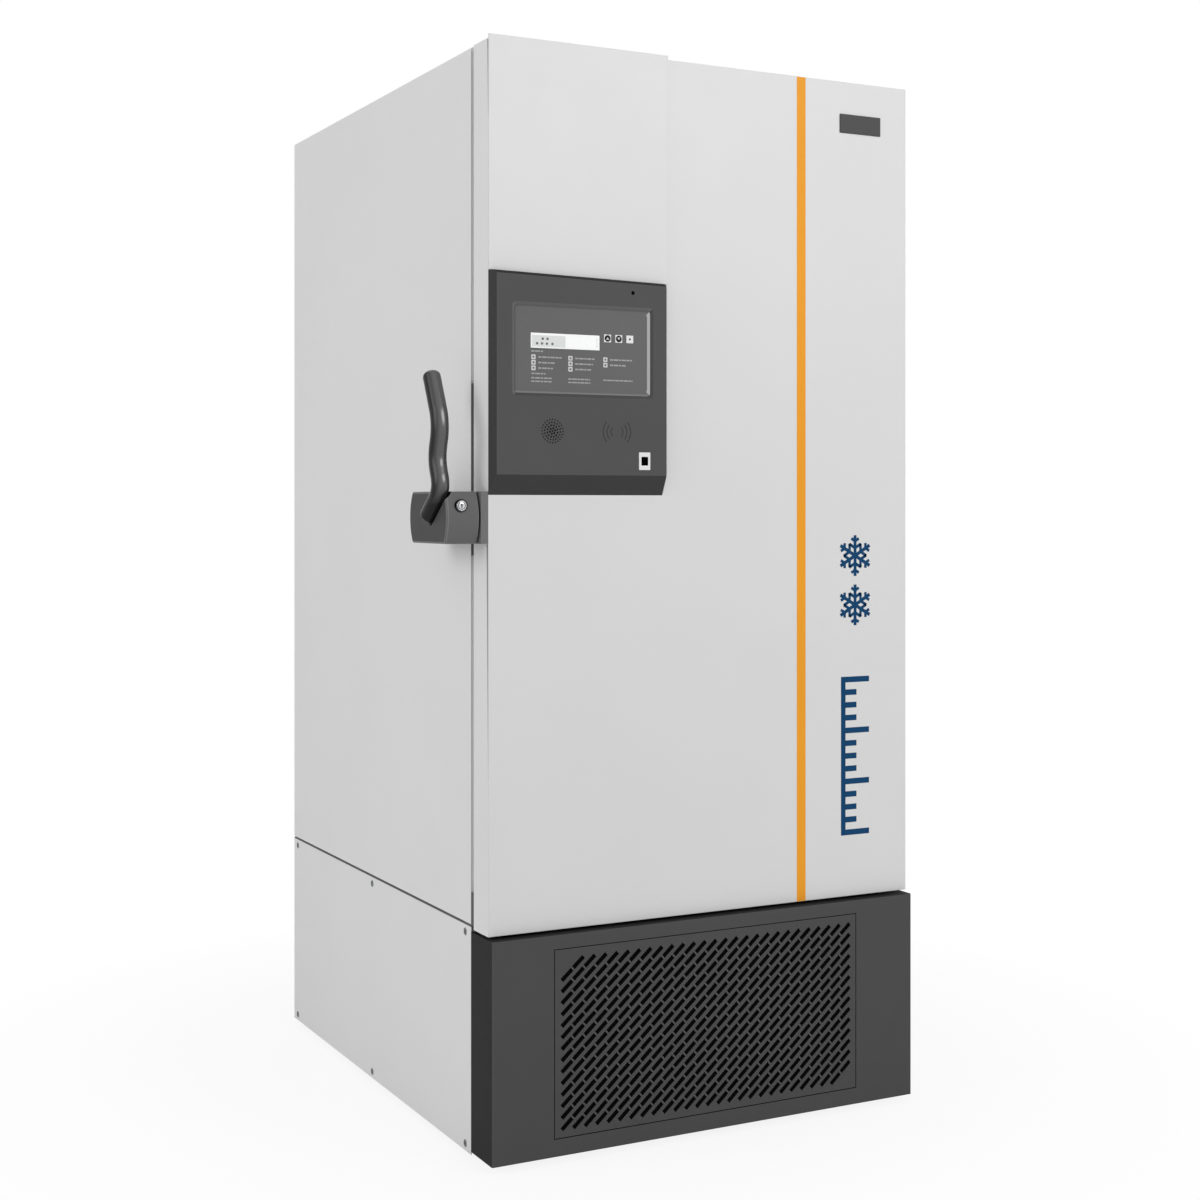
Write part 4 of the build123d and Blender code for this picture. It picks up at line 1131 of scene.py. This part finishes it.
def lock_profile(profile):
    """A profile of radius and depth, placed at the lock's front."""
    return [(radius, lock_y + depth) for radius, depth in profile]


front = lock_profile(LOCK_FACE)
groove_shade = lock_profile(LOCK_GROOVE_SHADE + LOCK_GROOVE_SHADE[:1])
shadow_ring = lock_profile(LOCK_SHADOW_RING + LOCK_SHADOW_RING[:1])
keyway = rectangle(
    lock_x - KEYWAY_HALF_WIDTH,
    lock_x + KEYWAY_HALF_WIDTH,
    lock_z - KEYWAY_HALF_HEIGHT,
    lock_z + KEYWAY_HALF_HEIGHT,
)
turned("lock_face", front, lock_x, lock_z, chrome, "lock")
turned("lock_groove_shade", groove_shade, lock_x, lock_z, hole_shade_black, "lock", smooth=False)
prisms("lock_keyway", [keyway], lock_y - KEYWAY_RISE, lock_y, hole_shade_black, "lock")
turned("lock_shadow_ring", shadow_ring, lock_x, lock_z, hole_shade_black, "handle", smooth=False)


# Screw heads on the side panels
def islands(mesh):
    """Middle of each loose piece of a mesh."""
    work = bmesh.new()
    work.from_mesh(mesh)
    left_over = set(work.verts)
    middles = []
    while left_over:
        group = [left_over.pop()]
        for vert in group:
            for edge in vert.link_edges:
                other = edge.other_vert(vert)
                if other in left_over:
                    left_over.remove(other)
                    group.append(other)
        lows = [min(v.co[axis] for v in group) for axis in range(3)]
        highs = [max(v.co[axis] for v in group) for axis in range(3)]
        middles.append(Vector([(a + b) / 2 for a, b in zip(lows, highs)]))
    work.free()
    return sorted(middles, key=lambda m: (round(m.x, 3), round(m.y, 3), round(m.z, 3)))


def screw_heads():
    """Domed heads with a cross recess, in the place of each plain head. The recess is a black
    cross: painted shade.
    """
    matrix = nodes["panel_screws"].matrix_world
    heads = bmesh.new()
    recesses = bmesh.new()
    for middle in islands(nodes["panel_screws"].data):
        place = matrix @ middle
        outward = -1 if place.x < 0 else 1
        base = place.x - outward * SCREW_HEAD / 2
        previous = None
        for share in SCREW_DOME:
            rise = SCREW_HEAD * (1 - share**2) ** 0.5 if share < 1 else 0
            outline = round_outline(place.y, place.z, SCREW_RADIUS * share, SCREW_SIDES)
            ring = [heads.verts.new((base + outward * rise, y, z)) for y, z in outline]
            if previous is None:
                heads.faces.new(ring)
            else:
                for i in range(SCREW_SIDES):
                    j = (i + 1) % SCREW_SIDES
                    heads.faces.new((previous[i], previous[j], ring[j], ring[i]))
            previous = ring
        heads.faces.new(previous)
        top = base + outward * (SCREW_HEAD + RECESS_RISE)
        centre = Vector((top - outward * RECESS_DEPTH / 2, place.y, place.z))
        for size_y, size_z in ((RECESS_LENGTH, RECESS_WIDTH), (RECESS_WIDTH, RECESS_LENGTH)):
            size = Vector((RECESS_DEPTH, size_y, size_z))
            bar = Matrix.LocRotScale(centre, None, size)
            bmesh.ops.create_cube(recesses, size=1, matrix=bar)
    bmesh.ops.recalc_face_normals(heads, faces=heads.faces)
    for work, name, material in (
        (heads, "side_screw_heads", screw_steel),
        (recesses, "side_screw_recesses", hole_shade_black),
    ):
        mesh = bpy.data.meshes.new(name)
        work.to_mesh(mesh)
        work.free()
        piece = new_piece(name, mesh, material, "cabinet")
        if work is heads:
            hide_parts("panel_screws")


screw_heads()


# Stage, light and camera
SEEN_RAYS = ("Is Camera Ray", "Is Glossy Ray", "Is Transmission Ray")
BACKGROUND_STRENGTH = 0.40
FLOOR_HALF = 30
FLOOR_PAINT = 0.95
FLOOR_WHITE_SHARE = 0.88
AIM = (0, 0, 1.0)
FRONT_SOFTBOX_PLACE = (1.6, -4.5, 3.4)
FRONT_SOFTBOX_SIZE = (2.6, 2.6)
FRONT_SOFTBOX_WATTS = 93
LEFT_SOFTBOX_PLACE = (-4.5, -0.6, 2.6)
LEFT_SOFTBOX_SIZE = (2.4, 2.4)
LEFT_SOFTBOX_WATTS = 57


def background(strength):
    """Even light, with plain white for what the camera sees directly or mirrored."""
    world = bpy.data.worlds.new("studio")
    bpy.context.scene.world = world
    world.use_nodes = True
    tree = world.node_tree
    tree.nodes.clear()
    path = tree.nodes.new("ShaderNodeLightPath")
    seen = largest(tree, [path.outputs[name] for name in SEEN_RAYS])
    soft = tree.nodes.new("ShaderNodeBackground")
    soft.inputs["Strength"].default_value = strength
    white = tree.nodes.new("ShaderNodeBackground")
    white.inputs["Strength"].default_value = 1.0
    for node in (soft, white):
        node.inputs["Color"].default_value = (1, 1, 1, 1)
    mix = tree.nodes.new("ShaderNodeMixShader")
    out = tree.nodes.new("ShaderNodeOutputWorld")
    tree.links.new(seen, mix.inputs["Fac"])
    tree.links.new(soft.outputs[0], mix.inputs[1])
    tree.links.new(white.outputs[0], mix.inputs[2])
    tree.links.new(mix.outputs[0], out.inputs["Surface"])


def outside_base(tree, place):
    """0 on the floor below the freezer, where it is dark, and 1 all round."""
    half_x = (bezel_high.x - bezel_low.x) / 2 - UNDER_BASE_INSET
    half_y = (side_high.y - bezel_low.y) / 2 - UNDER_BASE_INSET
    centre = ((bezel_low.x + bezel_high.x) / 2, (bezel_low.y + side_high.y) / 2, 0)
    offset = tree.nodes.new("ShaderNodeVectorMath")
    offset.operation = "SUBTRACT"
    offset.inputs[1].default_value = centre
    tree.links.new(place.outputs["Object"], offset.inputs[0])
    reach = tree.nodes.new("ShaderNodeVectorMath")
    reach.operation = "ABSOLUTE"
    tree.links.new(offset.outputs["Vector"], reach.inputs[0])
    split = tree.nodes.new("ShaderNodeSeparateXYZ")
    tree.links.new(reach.outputs["Vector"], split.inputs["Vector"])
    beyond = []
    for axis, half in (("X", half_x), ("Y", half_y)):
        test = tree.nodes.new("ShaderNodeMath")
        test.operation = "GREATER_THAN"
        test.inputs[1].default_value = half
        tree.links.new(split.outputs[axis], test.inputs[0])
        beyond.append(test.outputs[0])
    return largest(tree, beyond)


def floor_material(white_share):
    """White to the camera, with a share left for the shadow near the freezer."""
    material = bpy.data.materials.new("floor")
    material.use_nodes = True
    tree = material.node_tree
    tree.nodes.clear()
    path = tree.nodes.new("ShaderNodeLightPath")
    seen = largest(tree, [path.outputs[name] for name in SEEN_RAYS])
    paint = tree.nodes.new("ShaderNodeBsdfDiffuse")
    paint.inputs["Color"].default_value = (FLOOR_PAINT, FLOOR_PAINT, FLOOR_PAINT, 1)
    glow = tree.nodes.new("ShaderNodeEmission")
    mix = tree.nodes.new("ShaderNodeMixShader")
    out = tree.nodes.new("ShaderNodeOutputMaterial")
    place = tree.nodes.new("ShaderNodeTexCoord")
    distance = tree.nodes.new("ShaderNodeVectorMath")
    distance.operation = "LENGTH"
    tree.links.new(place.outputs["Object"], distance.inputs[0])
    fade = tree.nodes.new("ShaderNodeMapRange")
    fade.inputs["From Min"].default_value = SHADOW_NEAR
    fade.inputs["From Max"].default_value = SHADOW_FAR
    fade.inputs["To Min"].default_value = white_share
    tree.links.new(distance.outputs["Value"], fade.inputs["Value"])
    share = seen
    for factor in (fade.outputs["Result"], outside_base(tree, place)):
        product = tree.nodes.new("ShaderNodeMath")
        product.operation = "MULTIPLY"
        tree.links.new(share, product.inputs[0])
        tree.links.new(factor, product.inputs[1])
        share = product.outputs[0]
    tree.links.new(share, mix.inputs["Fac"])
    tree.links.new(paint.outputs[0], mix.inputs[1])
    tree.links.new(glow.outputs[0], mix.inputs[2])
    tree.links.new(mix.outputs[0], out.inputs["Surface"])
    return material


def add_floor(half):
    """A square floor, which stays out of the part."""
    mesh = bpy.data.meshes.new("floor")
    corners = [(-half, -half, 0), (half, -half, 0), (half, half, 0), (-half, half, 0)]
    mesh.from_pydata(corners, [], [(0, 1, 2, 3)])
    mesh.materials.append(floor_material(FLOOR_WHITE_SHARE))
    floor = bpy.data.objects.new("floor", mesh)
    bpy.context.scene.collection.objects.link(floor)


def add_softbox(name, place, target, size, power):
    """A soft square light that points at a target."""
    lamp = bpy.data.lights.new(name, "AREA")
    lamp.shape = "RECTANGLE"
    lamp.size, lamp.size_y = size
    lamp.energy = power
    softbox = bpy.data.objects.new(name, lamp)
    softbox.location = place
    aim = Vector(target) - Vector(place)
    softbox.rotation_euler = aim.to_track_quat("-Z", "Y").to_euler()
    bpy.context.scene.collection.objects.link(softbox)


def add_camera():
    """The photograph's camera, level, with its view shifted down."""
    data = bpy.data.cameras.new("camera")
    data.lens = CAMERA_LENS
    data.sensor_width = CAMERA_SENSOR
    data.sensor_fit = "HORIZONTAL"
    data.shift_y = CAMERA_SHIFT_Y
    camera = bpy.data.objects.new("camera", data)
    camera.location = CAMERA_PLACE
    camera.rotation_euler = (math.pi / 2, 0, -CAMERA_TURN)
    bpy.context.scene.collection.objects.link(camera)
    bpy.context.scene.camera = camera


bpy.context.scene.view_settings.view_transform = "Standard"
background(BACKGROUND_STRENGTH)
add_floor(FLOOR_HALF)
add_softbox("front_softbox", FRONT_SOFTBOX_PLACE, AIM, FRONT_SOFTBOX_SIZE, FRONT_SOFTBOX_WATTS)
add_softbox("left_softbox", LEFT_SOFTBOX_PLACE, AIM, LEFT_SOFTBOX_SIZE, LEFT_SOFTBOX_WATTS)
add_camera()
